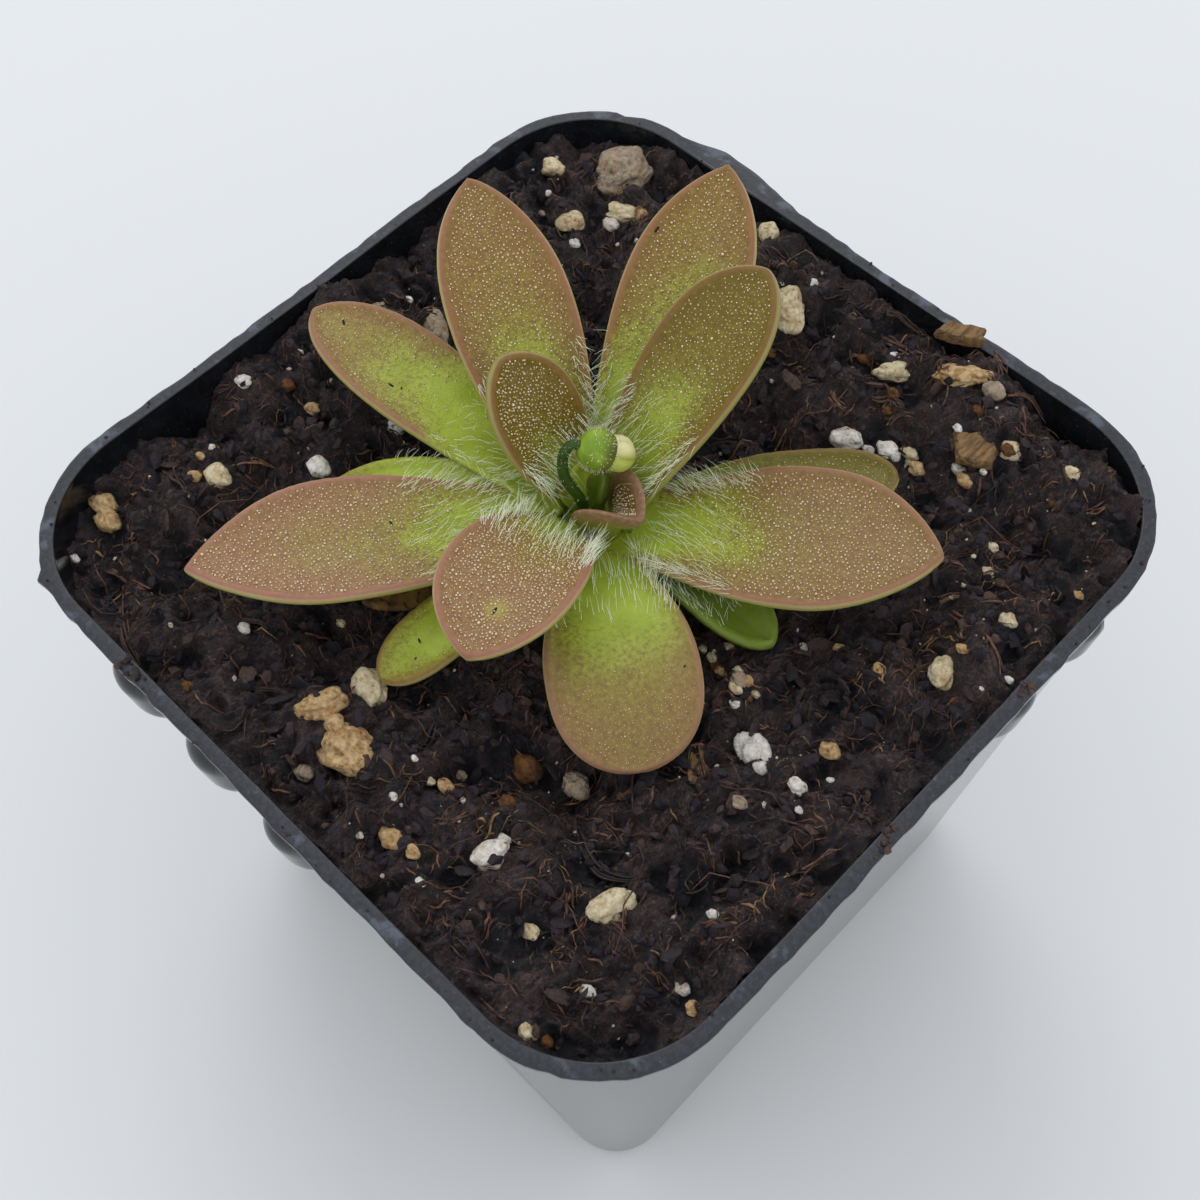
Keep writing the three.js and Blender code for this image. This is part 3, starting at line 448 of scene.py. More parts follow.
def merged(bodies):
    """One mesh from several bodies, each with its points, its groups of faces and its values."""
    points, faces, values = zip(*bodies)
    starts = np.cumsum([0, *map(len, points)])
    faces = [group + start for groups, start in zip(faces, starts) for group in groups]
    values = np.concatenate([np.broadcast_to(value, len(own)) for value, own in zip(values, points)])
    return np.concatenate(points), faces, values


def sphere_mesh(subdivisions):
    """Points and triangles of a ball of radius 1."""
    ball = bmesh.new()
    bmesh.ops.create_icosphere(ball, subdivisions=subdivisions, radius=1)
    points = np.array([v.co for v in ball.verts])
    faces = np.array([[v.index for v in f.verts] for f in ball.faces])
    ball.free()
    return points, [faces]


def across_of(directions):
    """Two unit vectors at right angles to each direction."""
    helper = np.where(np.abs(directions[:, 2:3]) > 0.9, [[1.0, 0, 0]], [[0, 0, 1.0]])
    first = unit(np.cross(directions, helper))
    return first, np.cross(directions, first)


def strands(routes, radii, sides=3):
    """Thin tapered bodies, one along each route. routes is strands x steps x 3, radii strands x steps."""
    count, steps = routes.shape[:2]
    one, two = across_of(unit(np.gradient(routes, axis=1).reshape(-1, 3)))
    angle = turns(sides)[:, None]
    ring = one[:, None] * np.cos(angle) + two[:, None] * np.sin(angle)
    points = routes.reshape(-1, 1, 3) + ring * radii.reshape(-1, 1, 1)
    faces = np.arange(count)[:, None, None] * steps * sides + tube_faces(steps, sides)
    return points.reshape(-1, 3), [faces.reshape(-1, 4)]


def curved_strands(roots, headings, bends, lengths, radius, steps):
    """Strands that leave their roots along the headings and bend away by the bends."""
    share = np.linspace(0, 1, steps)[None, :, None]
    bent = headings[:, None] * share + bends[:, None] * share ** 2
    radii = radius * (1 - 0.75 * share[..., 0]) * np.ones((len(roots), 1))
    return strands(roots[:, None] + lengths[:, None, None] * bent, radii)


def closed_rod(route, radii, sides):
    """Round body along a route, with both ends closed."""
    points, _ = strands(route[None], radii[None], sides)
    return closed(points, sides, [route[0], route[-1]])


def smooth_route(route, steps):
    """Catmull-Rom curve through the points."""
    p = np.array(route, float)
    p = np.concatenate([[2 * p[0] - p[1]], p, [2 * p[-1] - p[-2]]])
    t = np.linspace(0, len(route) - 1 - 1e-6, steps)
    i = t.astype(int)
    u = (t - i)[:, None]
    a, b, c, d = p[i], p[i + 1], p[i + 2], p[i + 3]
    return 0.5 * (2 * b + (c - a) * u + (2 * a - 5 * b + 4 * c - d) * u ** 2
                  + (3 * b - a - 3 * c + d) * u ** 3)


def distances(line):
    """The way along a line of points to each of them."""
    return np.concatenate([[0], np.cumsum(np.linalg.norm(np.diff(line, axis=0), axis=1))])


def between(t, places, line):
    """The points of a line at t, where its own points are at the places."""
    return columns(*(np.interp(t, places, part) for part in line.T))


def copies(shape, centres, bases, sizes):
    """The shape at each centre, turned by bases (copies x 3 x 3) and stretched by sizes (copies x 3)."""
    points, [faces] = shape
    placed = np.einsum("nij,npj->npi", bases, points * sizes[:, None, :]) + centres[:, None, :]
    faces = np.arange(len(centres))[:, None, None] * len(points) + faces
    return placed.reshape(-1, 3), [faces.reshape(-1, 3)]


def random_turns(rng, count):
    """Random rotation matrices."""
    first = unit(rng.normal(size=(count, 3)))
    second = unit(np.cross(first, unit(rng.normal(size=(count, 3)))))
    return columns(first, second, np.cross(first, second))


def turn_matrix(degrees):
    c, s = np.cos(np.radians(degrees)), np.sin(np.radians(degrees))
    return np.array([[c, -s, 0], [s, c, 0], [0, 0, 1]])


# Materials

def colour(code):
    """Linear RGBA of a #rrggbb colour."""
    parts = np.array([int(code[n:n + 2], 16) for n in (1, 3, 5)]) / 255
    linear = np.where(parts <= 0.04045, parts / 12.92, ((parts + 0.055) / 1.055) ** 2.4)
    return (*linear.tolist(), 1.0)


class Finish:
    """A material under construction, with short calls for the nodes it is made of."""

    def __init__(self, name, **settings):
        self.material = bpy.data.materials.new(name)
        self.material.use_nodes = True
        self.tree = self.material.node_tree
        self.shader = self.tree.nodes["Principled BSDF"]
        self.place = self.node("TexCoord", "Object")
        self.set(**settings)

    def set(self, **settings):
        for key, value in settings.items():
            self.feed(self.shader.inputs[key.replace("_", " ")], value)
        return self.material

    def feed(self, socket, value):
        if isinstance(value, bpy.types.NodeSocket):
            self.tree.links.new(value, socket)
        else:
            socket.default_value = colour(value) if isinstance(value, str) else value

    def node(self, kind, output, inputs=None, **settings):
        """One output of a new node. inputs are values for its sockets, settings are its own options."""
        node = self.tree.nodes.new("ShaderNode" + kind)
        for key, value in settings.items():
            setattr(node, key, value)
        for key, value in (inputs or {}).items():
            self.feed(node.inputs[key], value)
        return node.outputs[output]

    def attribute(self, name):
        return self.node("Attribute", "Fac", attribute_name=name)

    def noise(self, size, detail=3, roughness=0.5, distortion=0.0, stretch=None):
        """Noise whose features are about size mm across."""
        place = self.place
        if stretch:
            place = self.node("Mapping", "Vector", {"Vector": place, "Scale": stretch})
        return self.node("TexNoise", "Fac", {"Vector": place, "Scale": 1 / (size * MM), "Detail": detail,
                                             "Roughness": roughness, "Distortion": distortion})

    def cells(self, size):
        return self.node("TexVoronoi", "Distance", {"Vector": self.place, "Scale": 1 / (size * MM)})

    def spread(self, value, low, high, to_low=0.0, to_high=1.0):
        """value from low to high becomes to_low to to_high, smoothly."""
        inputs = {"Value": value, "From Min": low, "From Max": high, "To Min": to_low, "To Max": to_high}
        return self.node("MapRange", "Result", inputs, interpolation_type="SMOOTHSTEP")

    def plus(self, a, b):
        return self.node("Math", "Value", {0: a, 1: b}, operation="ADD")

    def times(self, a, b):
        return self.node("Math", "Value", {0: a, 1: b}, operation="MULTIPLY")

    def mix(self, share, a, b):
        return self.node("Mix", 2, {0: share, 6: a, 7: b}, data_type="RGBA")

    def marbled(self, pattern, low, high, a, b):
        """One colour where the pattern is low and the other where it is high."""
        return self.mix(self.spread(pattern, low, high), a, b)

    def coats(self, skin, *coats):
        """The skin with one coat after another over it. Each is a share and a colour."""
        for share, paint in coats:
            skin = self.mix(share, skin, paint)
        return skin

    def bump(self, height, distance, strength=1.0, under=None):
        """distance is the height of the relief in mm."""
        inputs = {"Strength": strength, "Distance": distance * MM, "Height": height}
        return self.node("Bump", "Normal", {**inputs, "Normal": under} if under else inputs)


def leaf_finish():
    """Blade: green at the base, then olive, then brown. Inside the pale edge runs a pink margin."""
    f = Finish("leaf_skin", Roughness=0.45)
    edge, level, blush, pink = map(f.attribute, ("edge", "level", "blush", "pink"))
    patch = f.noise(4.5, detail=4, roughness=0.6)
    grain = f.noise(0.5, detail=5, roughness=0.7)
    turned = f.plus(f.attribute("turned"), f.spread(f.noise(7, detail=1), 0.3, 0.7, -0.09, 0.09))
    turned = f.plus(turned, f.spread(grain, 0.35, 0.65, -0.1, 0.1))
    olive = f.times(f.spread(turned, 0.1, 0.6), blush)
    margin = f.times(f.times(f.spread(edge, 0.68, 0.2), f.spread(turned, 0.2, 0.6)),
                     f.spread(blush, 0.3, 0.9, 0.0, 0.68))
    skin = f.coats(
        f.marbled(patch, 0.3, 0.7, "#b0c444", "#99ad2c"),
        (olive, f.mix(pink, "#867a26", "#8d8238")),
        (f.times(f.spread(turned, 0.35, 0.95), blush), f.mix(pink, "#7a6212", "#967150")),
        (f.times(f.spread(grain, 0.5, 0.62), f.times(olive, 0.45)), f.mix(pink, "#67431c", "#74503a")),
        (f.times(f.spread(grain, 0.47, 0.33), 0.4), f.mix(pink, "#a8993f", "#b59c6c")),
        (margin, f.mix(pink, "#855334", "#a06a66")),
        (f.times(f.attribute("spot"), 0.75), "#a8a23e"),
        (f.spread(level, 0.85, 0.6, 0.0, 0.8), f.marbled(turned, 0.3, 0.8, "#9cab48", "#a59a62")),
        (f.times(f.attribute("rib"), 0.6), "#b5b878"),
        (f.spread(level, 0.42, 0.2), f.marbled(patch, 0.35, 0.65, "#8f9a3c", "#8f8440")),
        (f.times(f.attribute("lip"), f.spread(edge, 0.75, 0.1, 0.0, 0.9)),
         f.marbled(grain, 0.4, 0.6, "#8a5f50", "#a07a66")),
        (f.attribute("shade"), "#3c5412"))
    relief = f.bump(f.noise(0.3, detail=2), 0.06, 0.6, under=f.bump(f.noise(2.2, detail=3), 0.2, 0.6))
    return f.set(Base_Color=skin, Normal=relief, Specular_IOR_Level=0.3, Coat_Weight=0.06, Coat_Roughness=0.3,
                 Subsurface_Weight=0.25, Subsurface_Scale=0.0012, Subsurface_Radius=(0.9, 1.0, 0.25))


def withered_finish():
    f = Finish("withered_skin", Roughness=0.7)
    patch = f.noise(2.5, detail=5, roughness=0.65)
    vein = f.noise(0.6, detail=3, stretch=(1, 1, 0.3))
    skin = f.coats(f.marbled(patch, 0.35, 0.65, "#3d2a1a", "#7a5c28"), (f.spread(vein, 0.5, 0.7), "#2c1c10"))
    return f.set(Base_Color=skin, Normal=f.bump(vein, 0.15, 0.8), Specular_IOR_Level=0.3)


def droplet_finish():
    """Sticky droplets: pale beads, some of them faintly golden or pink; their paleness is partly a painted
    highlight for their glints.
    """
    f = Finish("droplets", Roughness=0.15)
    # The pale cream is partly the droplets' own tint and partly a painted highlight for the glints on the
    # clear droplets
    return f.set(Base_Color=f.marbled(f.noise(1.4, detail=2), 0.35, 0.65, "#e4d2b8", "#c8ae8c"),
                 Subsurface_Weight=0.3, Subsurface_Scale=0.0005, Subsurface_Radius=(1.0, 0.9, 0.6),
                 Specular_IOR_Level=0.9, Coat_Weight=0.6, Coat_Roughness=0.06)


def hair_finish():
    f = Finish("hairs", Roughness=0.35)
    return f.set(Base_Color=f.marbled(f.noise(1.2, detail=2), 0.3, 0.7, "#fbfbe8", "#eaf0c4"),
                 Subsurface_Weight=0.2, Subsurface_Scale=0.0004, Specular_IOR_Level=0.8)


def soil_finish():
    """Peat: near black, with violet-brown clods and reddish threads, and blue-black painted shade in the
    hollows of its relief.
    """
    f = Finish("peat")
    patch = f.noise(5, detail=5, roughness=0.65)
    thread = f.noise(0.45, detail=6, roughness=0.75, distortion=1.5)
    slant = f.noise(0.4, detail=5, roughness=0.7, distortion=1.2, stretch=(1, 0.2, 1))
    skin = f.coats(
        f.marbled(patch, 0.38, 0.6, "#0f0e19", "#382d35"),
        (f.spread(thread, 0.5, 0.62), f.marbled(patch, 0.35, 0.6, "#4e3d40", "#745a4e")),
        (f.spread(slant, 0.54, 0.64), "#7b5a4a"),
        # Painted shade: the hollows of the thread relief are darkened blue-black
        (f.spread(thread, 0.45, 0.36), "#0a0a1a"),
        # Painted shade: where clod is low, in the creases between the clods, the peat is darkened blue-black
        (f.spread(f.attribute("clod"), 0.5, 0.15, 0.0, 0.95), "#080818"))
    relief = f.bump(thread, 0.7, 1.0, under=f.bump(slant, 0.6, 0.9))
    return f.set(Base_Color=skin, Roughness=f.spread(slant, 0.4, 0.6, 0.75, 0.38), Normal=relief,
                 Specular_IOR_Level=0.6)


def crumb_finish():
    """Loose bits of peat, bark and grit. tone picks the colour of each."""
    f = Finish("crumbs", Roughness=0.7)
    tone = f.attribute("tone")
    grain = f.noise(0.35, detail=5, roughness=0.75)
    skin = f.coats(f.marbled(tone, 0.0, 0.4, "#120f1c", "#332a30"),
                   (f.spread(tone, 0.4, 0.75), "#574238"), (f.spread(tone, 0.78, 0.92), "#8a6038"),
                   # tone near 1 is pale cream: perlite dust, and in part painted highlight standing for wet
                   # glints on the soil
                   (f.spread(tone, 0.95, 0.98), "#d6cdbb"), (f.spread(grain, 0.45, 0.7), "#131018"))
    return f.set(Base_Color=skin, Normal=f.bump(grain, 0.3, 0.9), Specular_IOR_Level=0.4)


def fibre_finish():
    """Roots and peat fibres, from near black through red-brown to straw as tone grows."""
    f = Finish("fibres", Roughness=0.6)
    tone = f.attribute("tone")
    skin = f.coats(f.marbled(tone, 0.0, 0.5, "#1a151a", "#4d382e"),
                   (f.spread(tone, 0.45, 0.85), "#704e3d"), (f.spread(tone, 0.9, 1.0), "#94724e"),
                   (f.spread(f.noise(0.5, detail=3), 0.4, 0.75), "#1a1118"))
    return f.set(Base_Color=skin, Specular_IOR_Level=0.4)


def stone_finish(tone, deep, light):
    """Porous pumice with dirt in its pits and orange stains."""
    f = Finish("stone_" + tone, Roughness=0.9)
    grain = f.noise(0.7, detail=6, roughness=0.7)
    stain = f.noise(2.4, detail=4, roughness=0.6)
    skin = f.coats(f.marbled(grain, 0.35, 0.65, deep, light),
                   (f.spread(stain, 0.52, 0.7, 0.0, 0.4), "#a4743f"), (f.spread(grain, 0.42, 0.3), "#4a3628"),
                   (f.times(f.spread(f.attribute("low"), 0.35, 0.8), 0.85), "#2a1b14"))
    relief = f.bump(f.cells(0.55), 0.25, 0.6, under=f.bump(grain, 0.5, 0.9))
    return f.set(Base_Color=skin, Normal=relief, Specular_IOR_Level=0.25)


def chip_finish():
    f = Finish("bark", Roughness=0.8)
    grain = f.noise(0.5, detail=5, roughness=0.65, stretch=(1, 0.25, 1))
    return f.set(Base_Color=f.marbled(grain, 0.35, 0.65, "#58432e", "#8a6d48"),
                 Normal=f.bump(grain, 0.3, 0.9), Specular_IOR_Level=0.3)


def pot_finish():
    """Thin glossy black plastic. lip is 1 on the flat lip, which is duller, scuffed and dusty."""
    f = Finish("pot_plastic", Specular_IOR_Level=0.5)
    lip = f.attribute("lip")
    streak = f.noise(3, detail=4, roughness=0.6)
    scratch = f.noise(0.5, detail=5, roughness=0.7)
    top = f.coats(f.marbled(scratch, 0.4, 0.62, "#171a22", "#282d38"),
                  (f.spread(streak, 0.56, 0.68), "#49505e"))
    skin = f.coats(f.marbled(streak, 0.3, 0.7, "#0e1014", "#181b20"), (lip, top),
                   (f.spread(f.noise(0.25, detail=2), 0.68, 0.74, 0.0, 0.5), "#6e675f"))
    shine = f.spread(f.plus(lip, f.spread(streak, 0.3, 0.7, -0.06, 0.06)), 0.0, 1.0, 0.1, 0.45)
    relief = f.bump(scratch, 0.03, 0.4, under=f.bump(streak, 0.1, 0.3))
    return f.set(Base_Color=skin, Roughness=shine, Normal=relief)


def flower_finish(name, deep, light, dark, roughness=0.4):
    """Smooth plant skin of two greens, darker where shade is 1."""
    f = Finish(name, Roughness=roughness)
    skin = f.coats(f.marbled(f.noise(1.6, detail=3), 0.3, 0.7, deep, light), (f.attribute("shade"), dark))
    return f.set(Base_Color=skin, Normal=f.bump(f.noise(0.3, detail=2), 0.04, 0.5), Specular_IOR_Level=0.3,
                 Subsurface_Weight=0.2, Subsurface_Scale=0.0008, Subsurface_Radius=(0.8, 1.0, 0.3))


FINISHES = {
    "leaf": leaf_finish(),
    "withered": withered_finish(),
    "droplet": droplet_finish(),
    "hair": hair_finish(),
    "soil": soil_finish(),
    "crumb": crumb_finish(),
    "fibre": fibre_finish(),
    "chip": chip_finish(),
    "pot": pot_finish(),
    "stalk": flower_finish("stalk_skin", "#26400c", "#324e12", "#1a2e0a"),
    "calyx": flower_finish("calyx_skin", "#6a8822", "#88a62e", "#545020"),
    "petal": flower_finish("petal_skin", "#d2cc94", "#ded8a8", "#aab44e", 0.5),
    "crown": flower_finish("crown_skin", "#7f9c34", "#a5b658", "#b8a888"),
    "tan": stone_finish("tan", "#a27c4f", "#d3b88c"),
    "cream": stone_finish("cream", "#bda980", "#e6dabc"),
    "white": stone_finish("white", "#c9c2b8", "#f3f0ea"),
    "grey": stone_finish("grey", "#857565", "#b3a48e"),
    "rust": stone_finish("rust", "#4a3122", "#76502c"),
}


# Leaves

def outwards(azimuth, length, height):
    azimuth = np.radians(azimuth)
    return np.array([length * np.cos(azimuth), length * np.sin(azimuth), height])


def heading(azimuth, slope):
    return outwards(azimuth, np.cos(np.radians(slope)), np.sin(np.radians(slope)))


class Blade:
    """The form of one leaf: its midrib by length, its outline and its upper and under face."""

    def __init__(self, leaf, seed):
        self.leaf = leaf
        self.seed = seed
        azimuth, sweep = leaf["azimuth"], leaf["sweep"]
        start = outwards(azimuth + sweep, leaf["seat"], leaf["base"]) + CROWN
        end = outwards(azimuth, leaf["reach"], leaf["tip"]) + CROWN
        pull = MIDRIB_PULL * np.linalg.norm(start - end)
        one = start + heading(azimuth + sweep, leaf["rise"]) * pull
        two = end - heading(azimuth - MIDRIB_HOOK * sweep, leaf["level"]) * pull
        t = np.linspace(0, 1, CURVE_STEPS)[:, None]
        u = 1 - t
        self.route = u ** 3 * start + 3 * u ** 2 * t * one + 3 * u * t ** 2 * two + t ** 3 * end
        self.slope = 3 * u ** 2 * (one - start) + 6 * u * t * (two - one) + 3 * t ** 2 * (end - two)
        travelled = distances(self.route)
        self.length = travelled[-1]
        self.share = travelled / self.length
        s = 1 - (1 - np.linspace(0, 1, OUTLINE_STEPS)) ** 2
        self.outline = columns(s * self.length, self.half(s))

    def half(self, s):
        leaf = self.leaf
        s = np.clip(s, 0, 1)
        swell = np.sin(np.clip(s / leaf["widest"], 0, 1) * np.pi / 2) ** MARGIN_SWELL
        low = leaf["neck"] + (1 - leaf["neck"]) * swell
        along = np.clip((s - leaf["widest"]) / (1 - leaf["widest"]), 0, 1)
        high = (1 - along ** leaf["point"]) ** (1 / leaf["blunt"])
        return leaf["width"] / 2 * np.where(s < leaf["widest"], low, high)

    def edge(self, s, v):
        """Distance in mm to the outline, measured in the blade."""
        flat = columns(s * self.length, np.abs(v) * self.half(s))
        return np.linalg.norm(flat[:, None] - self.outline[None], axis=-1).min(axis=1)

    def frame(self, s):
        at = between(s, self.share, self.route)
        along = unit(between(s, self.share, self.slope))
        at = at + along * (np.minimum(s, 0) * self.length)[:, None]
        side = unit(np.cross(along, UP))
        return at, along, side, np.cross(side, along)

    def surface(self, s, v, upper):
        """Points on the upper (1) or under (-1) face, the directions out of it, the distances to the edge
        and the levels, from 0 on the under face through 0.5 at the edge to 1 on the upper face."""
        leaf = self.leaf
        at, _, side, face = self.frame(s)
        half = self.half(s)
        edge = self.edge(s, v)
        mm = s * self.length
        wave = noise(mm / WAVE_LENGTH, np.sign(v) * 3.0 + 7.7 * self.seed, 21) * WAVE_HEIGHT * v ** 4
        groove = -GROOVE_DEPTH * np.exp(-((v * half) / GROOVE_WIDTH) ** 2)
        groove = groove * ease(s, 0.02, 0.3) * ease(s, 1.0, 0.7)
        dimple = DIMPLE_DEPTH * noise(mm / 5.0, v * half / 4.0 + 3.1 * self.seed, 22)
        lift = half * leaf["cup"] * v ** 2 + BEAD_LIFT * smooth(np.clip(1 - edge / BEAD_WIDTH, 0, 1))
        lean = 2 * leaf["cup"] * v * np.minimum(1, half / 2)
        out = unit(face - side * lean[:, None])
        full = lerp(BLADE_MIDDLE, BLADE_MARGIN, v ** 2) * leaf["thick"]
        rounding = min(EDGE_ROUND, 0.22 * leaf["width"])
        cap = np.sqrt(np.clip(1 - (1 - np.clip(edge / rounding, 0, 1)) ** 2, 0, 1))
        rise = lift + wave + np.where(upper > 0, groove + dimple, 0) * cap
        points = at + side * (half * v)[:, None] + face * rise[:, None]
        points = points + out * (upper * full / 2 * cap)[:, None]
        return points, out * upper[:, None], edge, 0.5 + upper * cap / 2

    def upper(self, s, v):
        """Points on the upper face and the directions out of it."""
        return self.surface(s, v, np.ones(len(s)))[:2]


def blade_mesh(blade, stations, across):
    """Closed body: rings round the blade from its base to near the tip, then a point."""
    start = -BASE_EXTRA / blade.length
    s = start + (1 - start) * (1 - (1 - np.arange(stations) / stations) ** TIP_CROWDING)
    v = -np.cos(np.pi * np.arange(across + 1) / across)
    v = np.concatenate([v, v[-2:0:-1]])
    around = len(v)
    upper = np.tile(np.where(np.arange(around) > across, -1.0, 1.0), stations)
    s, v = np.repeat(s, around), np.tile(v, stations)
    points, _, edge, level = blade.surface(s, v, upper)
    rib = np.exp(-(v * blade.half(s) / RIB_WIDTH) ** 2) * (upper > 0)
    tip = blade.upper(np.array([1.0]), np.array([0.0]))[0][0]
    body = closed(points, around, [points[:around].mean(axis=0), tip])
    # Each value goes on to the middle of the base and to the tip
    values = {"along": (s, start, 1), "edge": (edge, 3, 0), "level": (level, 0, 0.5), "aside": (v ** 2, 0, 1),
              "rib": (rib, 0, 0)}
    return *body, {key: np.append(value, ends) for key, (value, *ends) in values.items()}


def bead_places(blade, spacing, first, rng):
    """Jittered places on the upper face, about spacing mm apart, none nearer the base than first."""
    width = blade.leaf["width"] / 2
    x, y = np.meshgrid(np.arange(0, blade.length, spacing), np.arange(-width, width, spacing * BEAD_ROWS))
    x = x + (np.arange(len(x))[:, None] % 2) * spacing / 2
    x = (x + rng.uniform(-BEAD_JITTER, BEAD_JITTER, x.shape) * spacing).ravel()
    y = (y + rng.uniform(-BEAD_JITTER, BEAD_JITTER, y.shape) * spacing).ravel()
    s = x / blade.length
    v = y / np.maximum(blade.half(s), 0.01)
    inside = (s > 0.02) & (s < 0.995) & (np.abs(v) < 1)
    s, v = s[inside], v[inside]
    keep = (blade.edge(s, v) > 0.65) & (rng.random(len(s)) < ease(s, first, first + 0.22) * 0.95)
    return s[keep], v[keep]


def add_beads(name, blade, slot, look, rng):
    s, v = bead_places(blade, look["beads"], look["first"], rng)
    points, out = blade.upper(s, v)
    size = look["drop"] * BEAD_RADIUS * rng.uniform(0.65, 1.3, len(s))
    size = size * np.where(rng.random(len(s)) < BIG_BEADS, 1.5, 1)
    centres = points + out * size[:, None] * 0.6
    beads = copies(sphere_mesh(1), centres, columns(*across_of(out), out), columns(size, size, size * 1.1))
    new_piece(name + "_droplets", *beads, "droplet", slot)


def add_hairs(name, blade, slot, look, rng):
    """Long pale hairs on the base of the blade, thickest along its margins, and short ones further out."""
    count = look["hairs"]
    s = HAIR_START + look["furred"] * rng.random(count) ** 1.2
    outer = rng.random(count) < MARGIN_HAIRS
    v = np.sign(rng.normal(size=count)) * rng.uniform(0.8, 0.99, count)
    v = np.where(outer, v, rng.uniform(-0.9, 0.9, count))
    points, out = blade.upper(s, v)
    _, along, side, _ = blade.frame(s)
    lean = side * (np.sign(v) * np.abs(v) ** 3 * 0.7)[:, None]
    back = along * rng.uniform(0.1, 1.1, (count, 1))
    headings = unit(out + lean - back + rng.normal(0, 0.16, (count, 3)))
    bends = rng.normal(0, 0.16, (count, 3)) - along * 0.25
    lengths = rng.uniform(*HAIR_LENGTHS, count) * (1 - 0.4 * ease(s, 0.2, 0.47))
    hairs = curved_strands(points, headings, bends, lengths, HAIR_RADIUS, 6)
    new_piece(name + "_hairs", *hairs, "hair", slot)


def pale_spot(name, blade, points):
    leaf, s, v, radius = PALE_SPOT
    if name != leaf:
        return 0
    centre = blade.upper(np.array([s]), np.array([v]))[0]
    return np.exp(-(np.linalg.norm(points - centre, axis=1) / radius) ** 2)


def add_marks(name, blade, slot, marks):
    """Dark specks: small flat bodies that lie on the upper face."""
    s, v, length, turn = np.array(marks, float).T
    at, out = blade.upper(s, v)
    one, two = across_of(out)
    c, d = np.cos(np.radians(turn))[:, None], np.sin(np.radians(turn))[:, None]
    bases = columns(one * c + two * d, two * c - one * d, out)
    specks = copies(sphere_mesh(2), at + out * 0.05, bases, columns(length / 2, length / 9 + 0.04, 0.08))
    new_piece(name + "_marks", *specks, "crumb", slot, tone=0)


def build_leaves():
    for seed, (name, leaf) in enumerate(LEAVES.items()):
        rng = np.random.default_rng(100 + seed)
        blade = Blade(leaf, seed)
        young = name.startswith("young")
        points, faces, values = blade_mesh(blade, *(YOUNG_MESH if young else GROWN_MESH))
        if name not in LOOKS:
            new_piece(name + "_blade", points, faces, "withered", "withered", [name], **values)
            continue
        look = LOOKS[name]
        slot = "young_leaf" if young else "leaf"
        values["turned"] = 0.5 + 1.4 * (values["along"] - look["turn"])
        values["turned"] += BROWN_EDGES * (values["aside"] - 0.35)
        values["rib"] *= look["rib"]
        values["spot"] = pale_spot(name, blade, points)
        values.update({key: look[key] for key in ("lip", "blush", "pink", "shade")})
        new_piece(name + "_blade", points, faces, "leaf", slot, [name], **values)
        if look["beads"]:
            add_beads(name, blade, slot, look, rng)
        if look["hairs"]:
            add_hairs(name, blade, slot, look, rng)
        marks = [mark for where, *mark in MARKS if where == name]
        if marks:
            add_marks(name, blade, slot, marks)


# Crown, roots and flower

def build_stalk():
    route = smooth_route(STALK_ROUTE, STALK_STEPS)
    radii = STALK_RADIUS * np.linspace(1, STALK_TIP_SHARE, STALK_STEPS)
    new_piece("flower_stalk_skin", *closed_rod(route, radii, 20), "stalk", "stalk", ["flower_stalk"], shade=0)
    rng = np.random.default_rng(7)
    at = rng.integers(6, 38, STALK_HAIRS)
    along = unit(np.gradient(route, axis=0))[at]
    one, two = across_of(along)
    angle = rng.uniform(0, 2 * np.pi, STALK_HAIRS)[:, None]
    out = one * np.cos(angle) + two * np.sin(angle)
    roots = route[at] + out * STALK_RADIUS * 0.85
    length = rng.uniform(0.25, 0.5, STALK_HAIRS)
    hairs = curved_strands(roots, out, along * 0.1, length, STALK_HAIR_RADIUS, 3)
    new_piece("flower_stalk_hairs", *hairs, "hair", "stalk")


BUD_AXIS = unit(BUD_TOWARDS - BUD_FROM)
BUD_BASIS = columns(*(part[0] for part in across_of(BUD_AXIS[None])), BUD_AXIS)
# The side of the petals that is cream, the others are greenish
PETAL_BACK = unit(np.array([-0.5, 0.5, 0.7]))


def turned_body(radius, height, depth):
    """Body of revolution about the bud's axis, ring by ring, with folds between its lobes."""
    angle = turns(BUD_SIDES)
    fold = np.abs(np.cos(PETAL_COUNT * angle / 2))
    r = radius[:, None] * (1 - np.reshape(depth, (-1, 1)) * (1 - fold) ** 2)
    rings = columns(r * np.cos(angle), r * np.sin(angle), height[:, None]).reshape(-1, 3)
    points, faces = closed(rings, BUD_SIDES, [[0, 0, height[0]], [0, 0, height[-1]]])
    return points @ BUD_BASIS.T + BUD_FROM, faces


